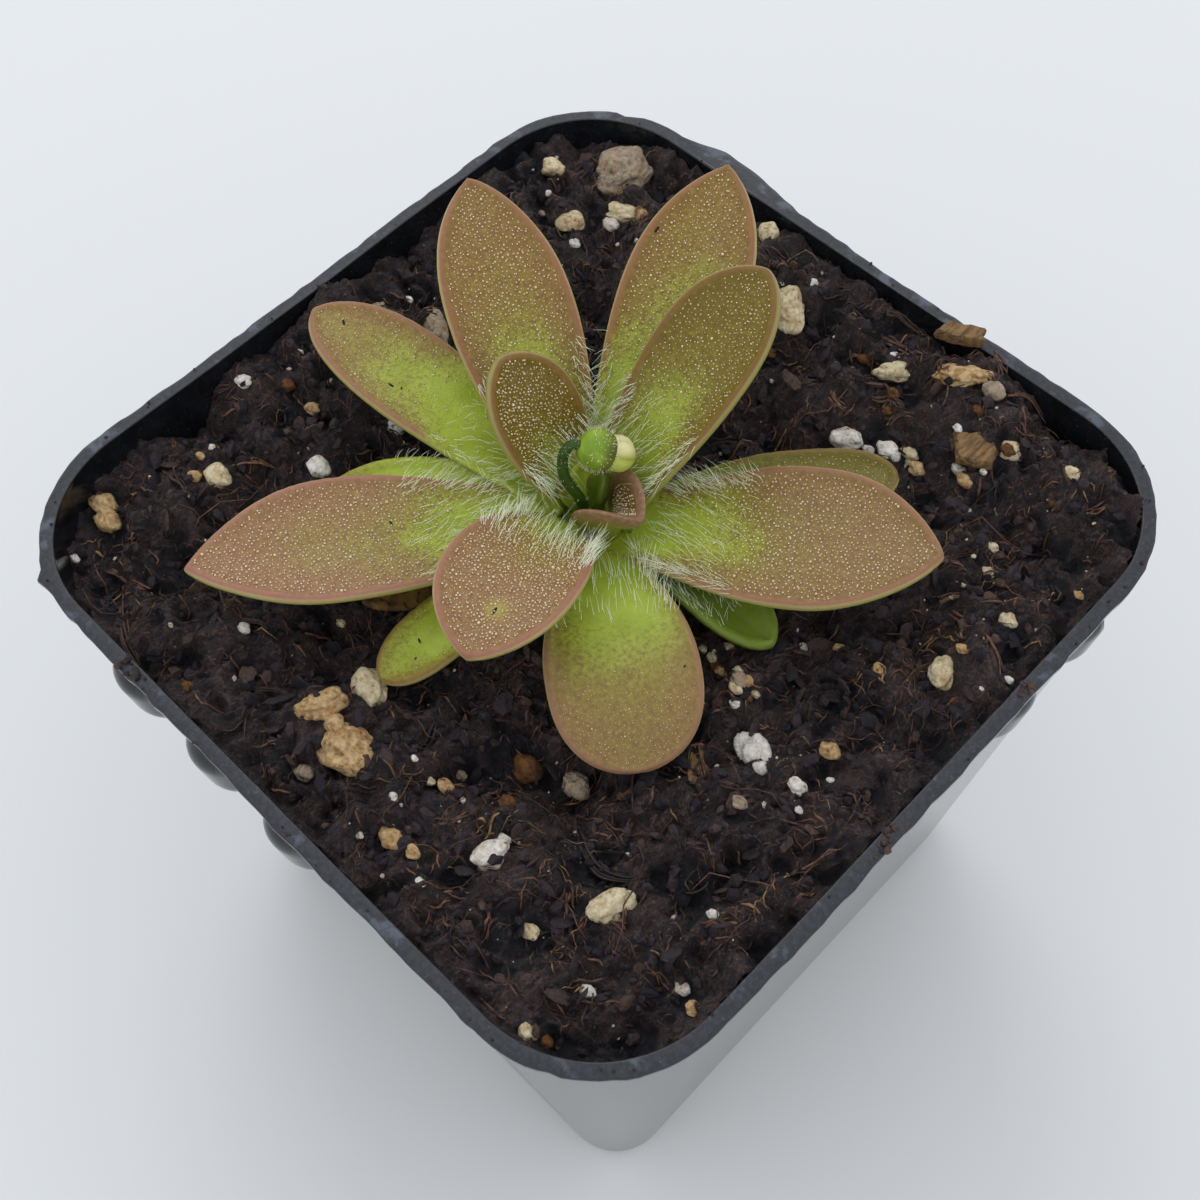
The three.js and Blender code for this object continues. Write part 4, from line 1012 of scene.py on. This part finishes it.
def build_bud():
    a = np.radians(np.linspace(8, CALYX_OPENS, 18))
    height = CALYX_LENGTH / 2 * (1 - np.cos(a))
    points, faces = turned_body(CALYX_RADIUS * np.sin(a), height, 0.12 * ease(a, 1.2, 2.4))
    height = (points - BUD_FROM) @ BUD_AXIS
    # Painted shade: under darkens the calyx's downward-facing side. The rise of shade towards the petals is
    # the calyx's own ragged olive-brown rim.
    under = ease(-unit(points - BUD_FROM - height[:, None] * BUD_AXIS)[:, 2], 0.1, 0.9)
    fleck = 0.3 * rough(points, 0.5, 81, 3)
    shade = np.clip(ease(height + fleck, 1.4, 3.4) * 0.8 + under * 0.35, 0, 1)
    new_piece("bud_calyx_skin", points, faces, "calyx", "young_leaf", ["bud_calyx"], shade=shade)

    a = np.radians(np.linspace(4, 172, 22))
    height = PETAL_AT - PETAL_RADIUS * PETAL_STRETCH * np.cos(a)
    points, faces = turned_body((PETAL_SPREAD + PETAL_RADIUS) * np.sin(a), height, 0.2)
    shade = ease((points - (BUD_FROM + PETAL_AT * BUD_AXIS)) @ PETAL_BACK, 0.7, -0.5)
    new_piece("bud_petals_skin", points, faces, "petal", "petal", ["bud_petals"], shade=shade)

    rng = np.random.default_rng(8)
    a = np.radians(rng.uniform(55, CALYX_OPENS, BUD_HAIRS))
    turn = rng.uniform(0, 2 * np.pi, BUD_HAIRS)
    x, y, z = np.sin(a) * np.cos(turn), np.sin(a) * np.sin(turn), -np.cos(a)
    out = unit(columns(x, y, z)) @ BUD_BASIS.T
    place = columns(CALYX_RADIUS * x, CALYX_RADIUS * y, CALYX_LENGTH / 2 * (1 + z)) @ BUD_BASIS.T + BUD_FROM
    length = rng.uniform(0.18, 0.4, BUD_HAIRS)
    hairs = curved_strands(place, out, out * 0, length, BUD_HAIR_RADIUS, 3)
    new_piece("bud_calyx_hairs", *hairs, "hair", "young_leaf")
    sizes = np.full((BUD_HAIRS, 3), BUD_BEAD_RADIUS)
    beads = copies(sphere_mesh(1), place + out * length[:, None], random_turns(rng, BUD_HAIRS), sizes)
    new_piece("bud_calyx_droplets", *beads, "droplet", "young_leaf")


def build_crown():
    # Heights and radii
    profile = [(-CROWN_DEPTH, 0.01), (-CROWN_DEPTH + 0.6, CROWN_TAIL), (-CROWN_DEPTH / 2, CROWN_RADIUS),
               (CROWN_TOP - CROWN_TAIL, CROWN_RADIUS), (CROWN_TOP - 0.3, CROWN_RADIUS * 0.6),
               (CROWN_TOP, 0.01)]
    height = np.linspace(-CROWN_DEPTH, CROWN_TOP, CROWN_MESH)[:, None]
    angle = turns(CROWN_MESH)
    radius = np.interp(height, *np.array(profile).T) * (1 + 0.06 * np.sin(5 * angle + height))
    stem = columns(radius * np.cos(angle), radius * np.sin(angle), height).reshape(-1, 3)
    bodies = [(CROWN + stem, [tube_faces(CROWN_MESH, CROWN_MESH)], 0)]
    for n in range(ROOT_COUNT):
        azimuth = 360 * (n + 0.6 * lattice(n, 1, ROOT_LAYER)) / ROOT_COUNT
        reach = 9 + 9 * lattice(n, 2, ROOT_LAYER)
        depth = 18 + 16 * lattice(n, 3, ROOT_LAYER)
        corners = [(0.6, -CROWN_DEPTH + 2.5), (reach * 0.3, -CROWN_DEPTH - depth * 0.18),
                   (reach * 0.75, -CROWN_DEPTH - depth * 0.5), (reach, -CROWN_DEPTH - depth)]
        route = smooth_route([outwards(azimuth, out, down) + CROWN for out, down in corners], ROOT_STEPS)
        bodies.append((*closed_rod(route, ROOT_RADIUS * np.linspace(1, ROOT_TIP_SHARE, ROOT_STEPS), 10), 0))
    points, faces, _ = merged(bodies)
    shade = ease(points[:, 2], SOIL_LEVEL + 1, SOIL_LEVEL - 2)
    new_piece("crown_and_roots_skin", points, faces, "crown", "crown", ["crown_and_roots"], shade=shade)


# Soil

def bed_height(x, y):
    u, v = x / RIM_HALF, y / RIM_HALF
    outer = ease(np.maximum(np.abs(u), np.abs(v)), DISH_FROM, DISH_TO)
    return SOIL_LEVEL - BED_DROP + outer * (BED_RISE + BED_TILT * (u + v))


def pressing_points():
    """Centres and reaches of the spots where a low leaf presses the soil down."""
    spots = []
    for name in LOW_LEAVES:
        blade = Blade(LEAVES[name], 0)
        reach = blade.half(PRESS_STATIONS) + PRESS_MARGIN
        spots.append(np.column_stack([blade.frame(PRESS_STATIONS)[0], reach]))
    return np.concatenate(spots)


PRESSING = pressing_points()


def soil_height(x, y):
    height = bed_height(x, y)
    for layer, (size, rise) in zip(LUMP_LAYERS, LUMPS):
        height = height + rise * noise(x / size, y / size, layer)
    for px, py, pz, reach in PRESSING:
        beyond = np.maximum(0, np.hypot(x - px, y - py) - reach)
        height = np.minimum(height, pz - PRESS_CLEARANCE + PRESS_SLOPE * beyond)
    return height


def clods(x, y):
    """Relief of the clods: rounded humps of several sizes with creases between them."""
    bent_x = x + 0.6 * noise(x / 1.4, y / 1.4, 45)
    bent_y = y + 0.6 * noise(x / 1.4, y / 1.4, 46)
    return sum(height * (1 - 2 * np.abs(noise(bent_x / size, bent_y / size, 31 + n)))
               for n, (size, height) in enumerate(CLODS))


def fine_soil(x, y):
    """Soil height with clods, grit and hollows."""
    height = soil_height(x, y) + clods(x, y) - CLOD_DROP
    for hx, hy, radius, depth in HOLLOWS:
        height = height - depth * np.exp(-((x - hx) ** 2 + (y - hy) ** 2) / radius ** 2)
    return height


def wall(z, *insets):
    """Half width and corner radius of the pot's outer wall at a height, less each of the insets."""
    half = FOOT_HALF + (TOP_HALF - FOOT_HALF) * z / LIP_UNDER
    corner = FOOT_CORNER + (RIM_CORNER - LIP_OVERHANG - FOOT_CORNER) * z / LIP_UNDER
    for inset in insets:
        half, corner = half - inset, corner - inset
    return half, corner


def outside_by(x, y, half, corner):
    """How far a point is outside a rounded square, negative inside."""
    dx, dy = np.abs(x) - (half - corner), np.abs(y) - (half - corner)
    return np.hypot(np.maximum(dx, 0), np.maximum(dy, 0)) + np.minimum(np.maximum(dx, dy), 0) - corner


def build_soil():
    inner, corner = wall(SOIL_LEVEL, WALL)
    count = int(2 * (inner + 1) / SOIL_STEP)
    line = (np.arange(count + 1) - count / 2) * SOIL_STEP
    x, y = np.meshgrid(line, line, indexing="ij")
    points = columns(x, y, fine_soil(x, y)).reshape(-1, 3)
    x, y = points[:, :2].T / 0.9
    points[:, :2] += columns(noise(x, y, 41), noise(x, y, 42)) * 0.16
    a = np.arange(count)[:, None] * (count + 1) + np.arange(count)
    quads = columns(a, a + count + 1, a + count + 2, a + 1).reshape(-1, 4)
    x, y, _ = points[quads].mean(axis=1).T
    quads = quads[outside_by(x, y, inner, corner) < 0.4]
    used, index = np.unique(quads, return_inverse=True)
    top = points[used]
    # clod is low in the creases between the clods, where the peat finish paints shade
    surface = (top, [index.reshape(quads.shape)], ease(clods(top[:, 0], top[:, 1]), -0.9, 2))
    points, faces, clod = merged([surface, (*soil_plug(), 0)])
    new_piece("soil_bed", points, faces, "soil", "soil", ["soil"], clod=clod)


def soil_plug():
    """The body of the soil below its surface, down to the pot's floor."""
    floor = RECESS_DEPTH + WALL
    rows = [(floor + GAP, 3), (floor + 1.5, 1.3), (40, 1.3), (74, 1.3)]
    rings = [columns(*rounded_square(*wall(z, inset), 8, 6)[0].T, z) for z, inset in rows]
    return closed(np.concatenate(rings), len(rings[0]), [[0, 0, rows[0][0]], [0, 0, rows[-1][0]]])


def scattered(rng, count, margin):
    """Random places on the bed, at least margin from the wall."""
    inner, corner = wall(SOIL_LEVEL, WALL, margin)
    x, y = rng.uniform(-inner, inner, (count * 2, 2)).T
    inside = outside_by(x, y, inner, corner) < 0
    return x[inside][:count], y[inside][:count]


def add_lumps(name, rng, x, y, radii, flatness, tone, detail, lift=0.3):
    """Small rough bodies lying on the soil."""
    count = len(x)
    shape = sphere_mesh(detail)
    centres = columns(x, y, fine_soil(x, y) + lift * radii)
    sizes = radii[:, None] * columns(rng.uniform(0.8, 1.5, count), rng.uniform(0.6, 1, count),
                                     rng.uniform(*flatness, count))
    points, faces = copies(shape, centres, random_turns(rng, count), sizes)
    centres = centres[:, None]
    bump = solid_noise((shape[0] * 1.6 + np.arange(count)[:, None, None] * 3.7).reshape(-1, 3), 51)
    points = centres + (points.reshape(count, -1, 3) - centres) * (1 + 0.45 * bump.reshape(count, -1, 1))
    tone = np.repeat(tone, len(shape[0]))
    new_piece(name, points.reshape(-1, 3), faces, "crumb", "soil", soft=False, tone=tone)


def add_fibres(name, rng, count, lengths, radii, tones, sides=3):
    """Curved threads that lie on the soil. lengths is one for each, radii and tones are ranges."""
    x, y = scattered(rng, count, 1.5)
    tuft = noise(x / TUFT_SIZE, y / TUFT_SIZE, 73) + rng.uniform(-0.6, 0.6, len(x)) > -0.35
    x, y = x[tuft, None], y[tuft, None]
    shape = x.shape
    length = lengths[:len(x), None]
    turn = TUFT_TURN * noise(x / TUFT_SIZE, y / TUFT_SIZE, 71) + rng.normal(0, 0.7, shape)
    curl = rng.normal(0, 0.7, shape)
    share = np.linspace(0, 1, FIBRE_STEPS)
    angle = turn + curl * share + 0.35 * np.sin(7 * share + 5 * turn)
    step = length / (FIBRE_STEPS - 1)
    px = x + np.cumsum(np.cos(angle) * step, axis=1)
    py = y + np.cumsum(np.sin(angle) * step, axis=1)
    inner, corner = wall(SOIL_LEVEL, WALL, 0.6)
    px, py = np.clip(px, -inner, inner), np.clip(py, -inner, inner)
    over = 1.2 * np.maximum(0, outside_by(px, py, inner, corner)) / np.hypot(px, py)
    px, py = px * (1 - over), py * (1 - over)
    hump = np.sin(np.pi * share) * (0.25 * length * rng.random(shape))
    lift = np.minimum(hump, 0.8) + rng.uniform(-0.1, 0.35, shape)
    thick = rng.uniform(*radii, shape) * (0.35 + 0.65 * np.sin(np.pi * (0.1 + 0.8 * share)))
    threads = strands(columns(px, py, fine_soil(px, py) + lift), thick, sides)
    tone = lerp(*tones, rng.beta(1.6, 2.2, shape)) + 0.28 * noise(x / TUFT_SIZE, y / TUFT_SIZE, 72)
    new_piece(name, *threads, "fibre", "soil", tone=np.repeat(tone, FIBRE_STEPS * sides))


def build_twigs():
    """Each twig is a bundle of torn fibres that run side by side."""
    rng = np.random.default_rng(13)
    bodies = []
    for n, (radius, tone, *places) in enumerate(TWIGS):
        flat = smooth_route(columns(places[::2], places[1::2], 0), TWIG_STEPS)
        lying = np.convolve(np.pad(fine_soil(*flat[:, :2].T), 4, mode="edge"), np.ones(9) / 9, mode="valid")
        flat[:, 2] = lying + 0.5 * radius
        side = unit(np.cross(np.gradient(flat, axis=0), UP))
        for k in range(TWIG_FIBRES):
            wave = noise(np.arange(TWIG_STEPS) / 4, 5.0 * n + k, 91)
            apart = radius * ((k / (TWIG_FIBRES - 1) - 0.5) * 1.5 + 0.5 * wave)
            route = flat + side * apart[:, None]
            route[:, 2] += radius * rng.uniform(-0.3, 0.5)
            part = slice(rng.integers(0, 4), TWIG_STEPS - rng.integers(0, 4))
            taper = np.linspace(1, 0.4, TWIG_STEPS) * (1 + 0.3 * wave)
            fibre = closed_rod(route[part], 0.42 * radius * taper[part], 5)
            bodies.append((*fibre, tone + rng.uniform(-0.35, 0.1)))
    points, faces, tones = merged(bodies)
    new_piece("soil_twigs", points, faces, "fibre", "soil", tone=tones)


def build_lip_dirt():
    rng = np.random.default_rng(12)
    outline = rounded_square(RIM_HALF - (LIP_OVERHANG + WALL) / 2, RIM_CORNER - 0.8, 60, 20)[0]
    spots = outline[rng.integers(0, len(outline), LIP_BITS)] + rng.uniform(-0.7, 0.7, (LIP_BITS, 2))
    clumps = np.repeat(np.array(LIP_CLUMPS), CLUMP_BITS, axis=0)
    clumps = clumps + rng.normal(0, 0.35, clumps.shape)
    radii = np.concatenate([rng.uniform(0.06, 0.2, LIP_BITS), rng.uniform(0.15, 0.45, len(clumps))])
    centres = np.column_stack([np.concatenate([spots, clumps]), POT_HEIGHT + 0.3 * radii])
    count = len(radii)
    points, faces = copies(sphere_mesh(1), centres, random_turns(rng, count),
                           radii[:, None] * rng.uniform(0.6, 1.3, (count, 3)))
    tone = np.repeat(rng.uniform(0.1, 0.8, count), len(points) // count)
    new_piece("lip_dirt", points, faces, "crumb", "soil", soft=False, tone=tone)


def build_litter():
    rng = np.random.default_rng(11)
    x, y = scattered(rng, CRUMBS, 1)
    radii = 0.2 + 0.75 * rng.random(len(x)) ** 3
    add_lumps("soil_crumbs", rng, x, y, radii, (0.4, 0.9), rng.beta(1.5, 2.6, len(x)) * 0.88, 1)
    x, y = scattered(rng, FLAKES, 2)
    radii = rng.uniform(0.4, 1.2, len(x))
    add_lumps("soil_flakes", rng, x, y, radii, (0.15, 0.35), rng.beta(2.2, 2.2, len(x)) * 0.93, 2)
    # Pale specks: perlite dust, and in part painted highlights standing for wet glints on the soil
    x, y = scattered(rng, SPECKS, 1.5)
    radii = 0.08 + 0.25 * rng.random(len(x)) ** 3
    add_lumps("soil_specks", rng, x, y, radii, (0.6, 1), np.ones(len(x)), 1, lift=0.9)
    add_fibres("soil_fibres", rng, FIBRES, rng.gamma(2, 0.9, FIBRES).clip(0.8, 5), (0.03, 0.07), (0.15, 1.35))
    add_fibres("soil_shreds", rng, SHREDS, rng.uniform(0.7, 2.6, SHREDS), (0.06, 0.19), (0.05, 1.2), 4)
    add_fibres("soil_roots", rng, LONG_ROOTS, rng.uniform(4, 11, LONG_ROOTS), (0.05, 0.11), (0.45, 0.9), 4)


# Stones, grains and chips

def stone_points(seed, detail):
    ball, faces = sphere_mesh(detail)
    x, y, z = ball.T
    bump = 1 + STONE_ROUGHNESS * noise(x * 1.7 + 9 * seed, y * 1.7 + z * 2.3, STONE_LAYER)
    bump += 0.16 * rough(ball + 5 * seed, 0.9, 61)
    bump -= 0.1 * ease(solid_noise(ball * 4 + 3 * seed, 66), 0.25, 0.7)
    return ball * bump[:, None], faces


def build_stones():
    for n, (x, y, *half, turn, tone) in enumerate(STONES):
        shape, faces = stone_points(n, 5 if half[0] > 2.4 else 4)
        centre = [x, y, soil_height(x, y) + STONE_STANDS * half[2]]
        points = (shape * half) @ turn_matrix(turn).T + centre
        name = f"stone_{n + 1:02d}"
        new_piece(name + "_fine", points, faces, tone, "pumice", [name], low=ease(shape[:, 2], 0.35, -0.5))


def build_grains():
    for tone, grains in GRAINS.items():
        bodies = []
        for n, (x, y, radius) in enumerate(grains):
            shape, faces = stone_points(20 + n + len(tone), 3)
            points = shape * (GRAIN_FORM * radius) + [x, y, fine_soil(x, y) + 0.35 * radius]
            bodies.append((points, faces, ease(shape[:, 2], 0.0, -0.8)))
        points, faces, low = merged(bodies)
        new_piece(f"grains_{tone}", points, faces, tone, "pumice", low=low)


def build_chips():
    """Chips as stacks of slightly different outlines, so that their edges are frayed."""
    for n, (x, y, length, width, thickness, turn, on_lip) in enumerate(CHIPS):
        corners = np.array(CHIP_OUTLINE + CHIP_OUTLINE[:1]) * (length, width)
        travelled = distances(corners)
        t = np.linspace(0, travelled[-1], CHIP_STEPS, endpoint=False)
        outline = between(t, travelled, corners)
        z = POT_HEIGHT + GAP if on_lip else soil_height(x, y) - CHIP_SINKS * thickness
        rings = []
        for k in range(CHIP_LAYERS):
            share = k / (CHIP_LAYERS - 1)
            fray = 1 - 0.12 * np.abs(2 * share - 1) ** 3 + 0.05 * noise(t * 2.1, 3.0 * k, 71 + n)
            flat = outline * fray[:, None] @ turn_matrix(turn)[:2, :2].T + (x, y)
            warp = 0.12 * noise(t * 0.8, 0.4 * k, 75 + n)
            rings.append(np.column_stack([flat, z + thickness * share + warp]))
        ends = [rings[0].mean(axis=0), rings[-1].mean(axis=0)]
        points, faces = closed(np.concatenate(rings), CHIP_STEPS, ends)
        name = f"bark_chip_{n + 1}"
        new_piece(name + "_fine", points, faces, "chip", "bark", [name], soft=False)


# Pot

def four_sides(quarter):
    """A quarter of a ring, turned to each of the four sides."""
    x, y = quarter.T
    ways = [(1, 0), (0, 1), (-1, 0), (0, -1)]
    return np.concatenate([columns(x * c - y * s, x * s + y * c) for c, s in ways])


def rounded_square(half, corner, side_steps, corner_steps):
    """Points of a rounded square, the directions out of it and the places along its sides."""
    corner = min(corner, half * 0.98)
    straight = half - corner
    line = np.linspace(-straight, straight, side_steps, endpoint=False)
    arc = np.radians(np.linspace(0, 90, corner_steps, endpoint=False))
    bend = columns(np.cos(arc), np.sin(arc))
    points = np.concatenate([columns(half, line), straight + corner * bend])
    normals = np.concatenate([columns(1, np.zeros(side_steps)), bend])
    along = np.append(line, np.full(corner_steps, AWAY))
    return four_sides(points), four_sides(normals), np.tile(along, 4)


def lug_bulge(along, z):
    """How far the lugs push the wall out, at places along the four sides and a height."""
    beyond = max(abs(z - LUG_MIDDLE) - LUG_STRAIGHT, 0)
    sides = []
    for places, stand, part in zip(LUG_PLACES, LUG_STANDS, np.split(along, 4)):
        inside = LUG_RADIUS ** 2 - (part[:, None] - np.array(places)) ** 2 - beyond ** 2
        sides.append(np.sqrt(np.maximum(inside, 0)).max(axis=1) - (LUG_RADIUS - stand))
    return np.maximum(np.concatenate(sides), 0)


def lip_offset(xy):
    """How far the cut edge of the lip strays outwards, and how much of that is the flare of one side."""
    x, y = xy.T
    offset = 0.14 * noise(x / 1.4 + 5, y / 1.4, 81) + 0.16 * noise(x / 6, y / 6 + 9, 82)
    for bx, by, out, width in BURRS:
        offset = offset + out * np.exp(-((x - bx) ** 2 + (y - by) ** 2) / width ** 2)
    flared = ease(x, FLARE["from"], FLARE["from"] + 5) * ease(x, FLARE["to"], FLARE["to"] - 12) * (y > 30)
    return offset + FLARE["out"] * flared, flared


def pot_rows():
    """Sections of the pot: out over its floor, up the inside, over the lip, down the outside, under the foot.
    Each has its half width, corner and height, and shares of the lip's straying and finish and of the lugs.
    A row ends before shares that are all 0."""
    floor = RECESS_DEPTH + WALL
    inner_top, inner_corner = TOP_HALF - WALL, wall(LIP_UNDER, WALL)[1]
    rows = [(half, half * 0.6, floor) for half in (1.5, 8, 16, 24)]
    rows.append((*wall(floor, WALL, 1), floor))
    rows += [(*wall(z, WALL), z) for z in (floor + 1, 20, 40, 60, 70, 75, 78, 80, 82, 84, 85.3, 85.8)]
    for share in np.linspace(0.05, 1, 8):
        grow = share * (RIM_HALF - inner_top)
        shown = ease(share, 0.0, 0.2) * ease(share, 1.1, 0.85)
        rows.append((inner_top + grow, inner_corner + grow, POT_HEIGHT - 0.15 * share ** 4, share, shown))
    rows.append((RIM_HALF + 0.03, RIM_CORNER, POT_HEIGHT - 0.6, 1, 0.2))
    rows.append((RIM_HALF, RIM_CORNER, LIP_UNDER + 0.1, 1))
    rows.append((RIM_HALF - 0.2, RIM_CORNER, LIP_UNDER, 0.9))
    outside = (LIP_UNDER - 0.1, 84, 83, *np.arange(82.2, 69, -0.6), 68, 60, 50, 40, 30, 20, 12, 6, 4)
    rows += [(*wall(z), z, 0, 0, 1) for z in outside]
    for angle in (75, 60, 45, 30, 15, 0):
        z = FOOT_ROUND * (1 - np.cos(np.radians(angle)))
        rows.append((*wall(z, FOOT_ROUND * (1 - np.sin(np.radians(angle)))), z))
    rows += [(RECESS_HALF + 0.5, FOOT_CORNER, 0), (RECESS_HALF, FOOT_CORNER, RECESS_DEPTH)]
    return rows + [(half, half * 0.6, RECESS_DEPTH) for half in (16, 8, 1.5)]


def build_pot():
    rings, lips = [], []
    for row in pot_rows():
        half, corner, z, stray, lip, lugs = (*row, 0, 0, 0)[:6]
        xy, normal, along = rounded_square(half, corner, SIDE_STEPS, CORNER_STEPS)
        offset, flared = lip_offset(xy)
        xy = xy + normal * (stray * offset + lugs * lug_bulge(along, z))[:, None]
        heights = z - FLARE["down"] * flared * stray
        if z > LIP_UNDER - 1:
            heights = heights + LIP_WAVE * noise(*xy.T / LIP_WAVE_LENGTH, 84)
        else:
            middle = 1 - (np.abs(xy).min(axis=1) / BOW_WIDTH) ** 2
            xy = xy - normal * (WALL_BOW * np.sin(np.pi * z / BOW_HEIGHT) * np.clip(middle, 0, 1))[:, None]
        rings.append(columns(*xy.T, heights))
        lips += [lip] * len(xy)
    ends = [[0, 0, RECESS_DEPTH + WALL], [0, 0, RECESS_DEPTH]]
    points, faces = closed(np.concatenate(rings), len(rings[0]), ends, inward=True)
    pot = new_piece("pot_shell", points, faces, "pot", "pot_plastic", ["pot"], lip=lips + [0, 0])
    cut_drains(pot)


def cut_drains(pot):
    """Round drain holes through the floor."""
    drains = bmesh.new()
    for x, y in [(0, 0), (1, 1), (-1, 1), (-1, -1), (1, -1)]:
        middle = Vector((x * DRAIN_SPREAD, y * DRAIN_SPREAD, RECESS_DEPTH + WALL / 2)) * MM
        bmesh.ops.create_cone(drains, matrix=Matrix.Translation(middle), depth=4 * WALL * MM, segments=40,
                              radius1=DRAIN_RADIUS * MM, radius2=DRAIN_RADIUS * MM, cap_ends=True)
    mesh = bpy.data.meshes.new("drains")
    drains.to_mesh(mesh)
    drains.free()
    cutter = add_object("drains", mesh)
    modifier = pot.modifiers.new("drains", "BOOLEAN")
    modifier.operation = "DIFFERENCE"
    modifier.object = cutter
    bpy.context.view_layer.update()
    evaluated = pot.evaluated_get(bpy.context.evaluated_depsgraph_get())
    cut = bpy.data.meshes.new_from_object(evaluated)
    pot.modifiers.clear()
    pot.data = cut
    bpy.data.objects.remove(cutter)


# Surroundings

def build_stage():
    paper = Finish("paper", Roughness=0.9, Specular_IOR_Level=0.1)
    paper.set(Base_Color=paper.mix(paper.noise(400, detail=1), "#dde0e3", "#e0e3e6"))
    corners = np.array([[-1, -1, 0], [1, -1, 0], [1, 1, 0], [-1, 1, 0]]) * FLOOR_HALF
    mesh = bpy.data.meshes.new("floor")
    mesh.from_pydata((corners * MM).tolist(), [], [(0, 1, 2, 3)])
    mesh.materials.append(paper.material)
    floor = add_object("floor", mesh)

    world = bpy.data.worlds.new("room")
    world.use_nodes = True
    sky = world.node_tree.nodes["Background"]
    sky.inputs["Color"].default_value = (0.98, 0.99, 1.0, 1)
    sky.inputs["Strength"].default_value = ROOM_LIGHT
    bpy.context.scene.world = world

    light = bpy.data.lights.new("main_light", "AREA")
    light.size = LIGHT_SIZE * MM
    light.energy = LIGHT_POWER
    lamp = add_object("main_light", light)
    lamp.location = Vector(LIGHT_AT) * MM
    towards = Vector((0, 0, SOIL_LEVEL * MM)) - lamp.location
    lamp.rotation_euler = towards.to_track_quat("-Z", "Y").to_euler()
    bpy.context.scene.view_settings.view_transform = "Standard"


def build_camera():
    data = bpy.data.cameras.new("camera")
    data.lens = LENS
    data.sensor_width = SENSOR
    data.clip_start = 0.01
    camera = add_object("camera", data)
    back = CAMERA_RIGHT.cross(CAMERA_UP)
    turn = Matrix((CAMERA_RIGHT, CAMERA_UP, back)).transposed().to_4x4()
    camera.matrix_world = Matrix.Translation(Vector(CAMERA_AT * MM)) @ turn
    bpy.context.scene.camera = camera


build_camera()
build_stage()
build_pot()
build_soil()
build_litter()
build_twigs()
build_lip_dirt()
build_stones()
build_grains()
build_chips()
build_crown()
build_stalk()
build_bud()
build_leaves()
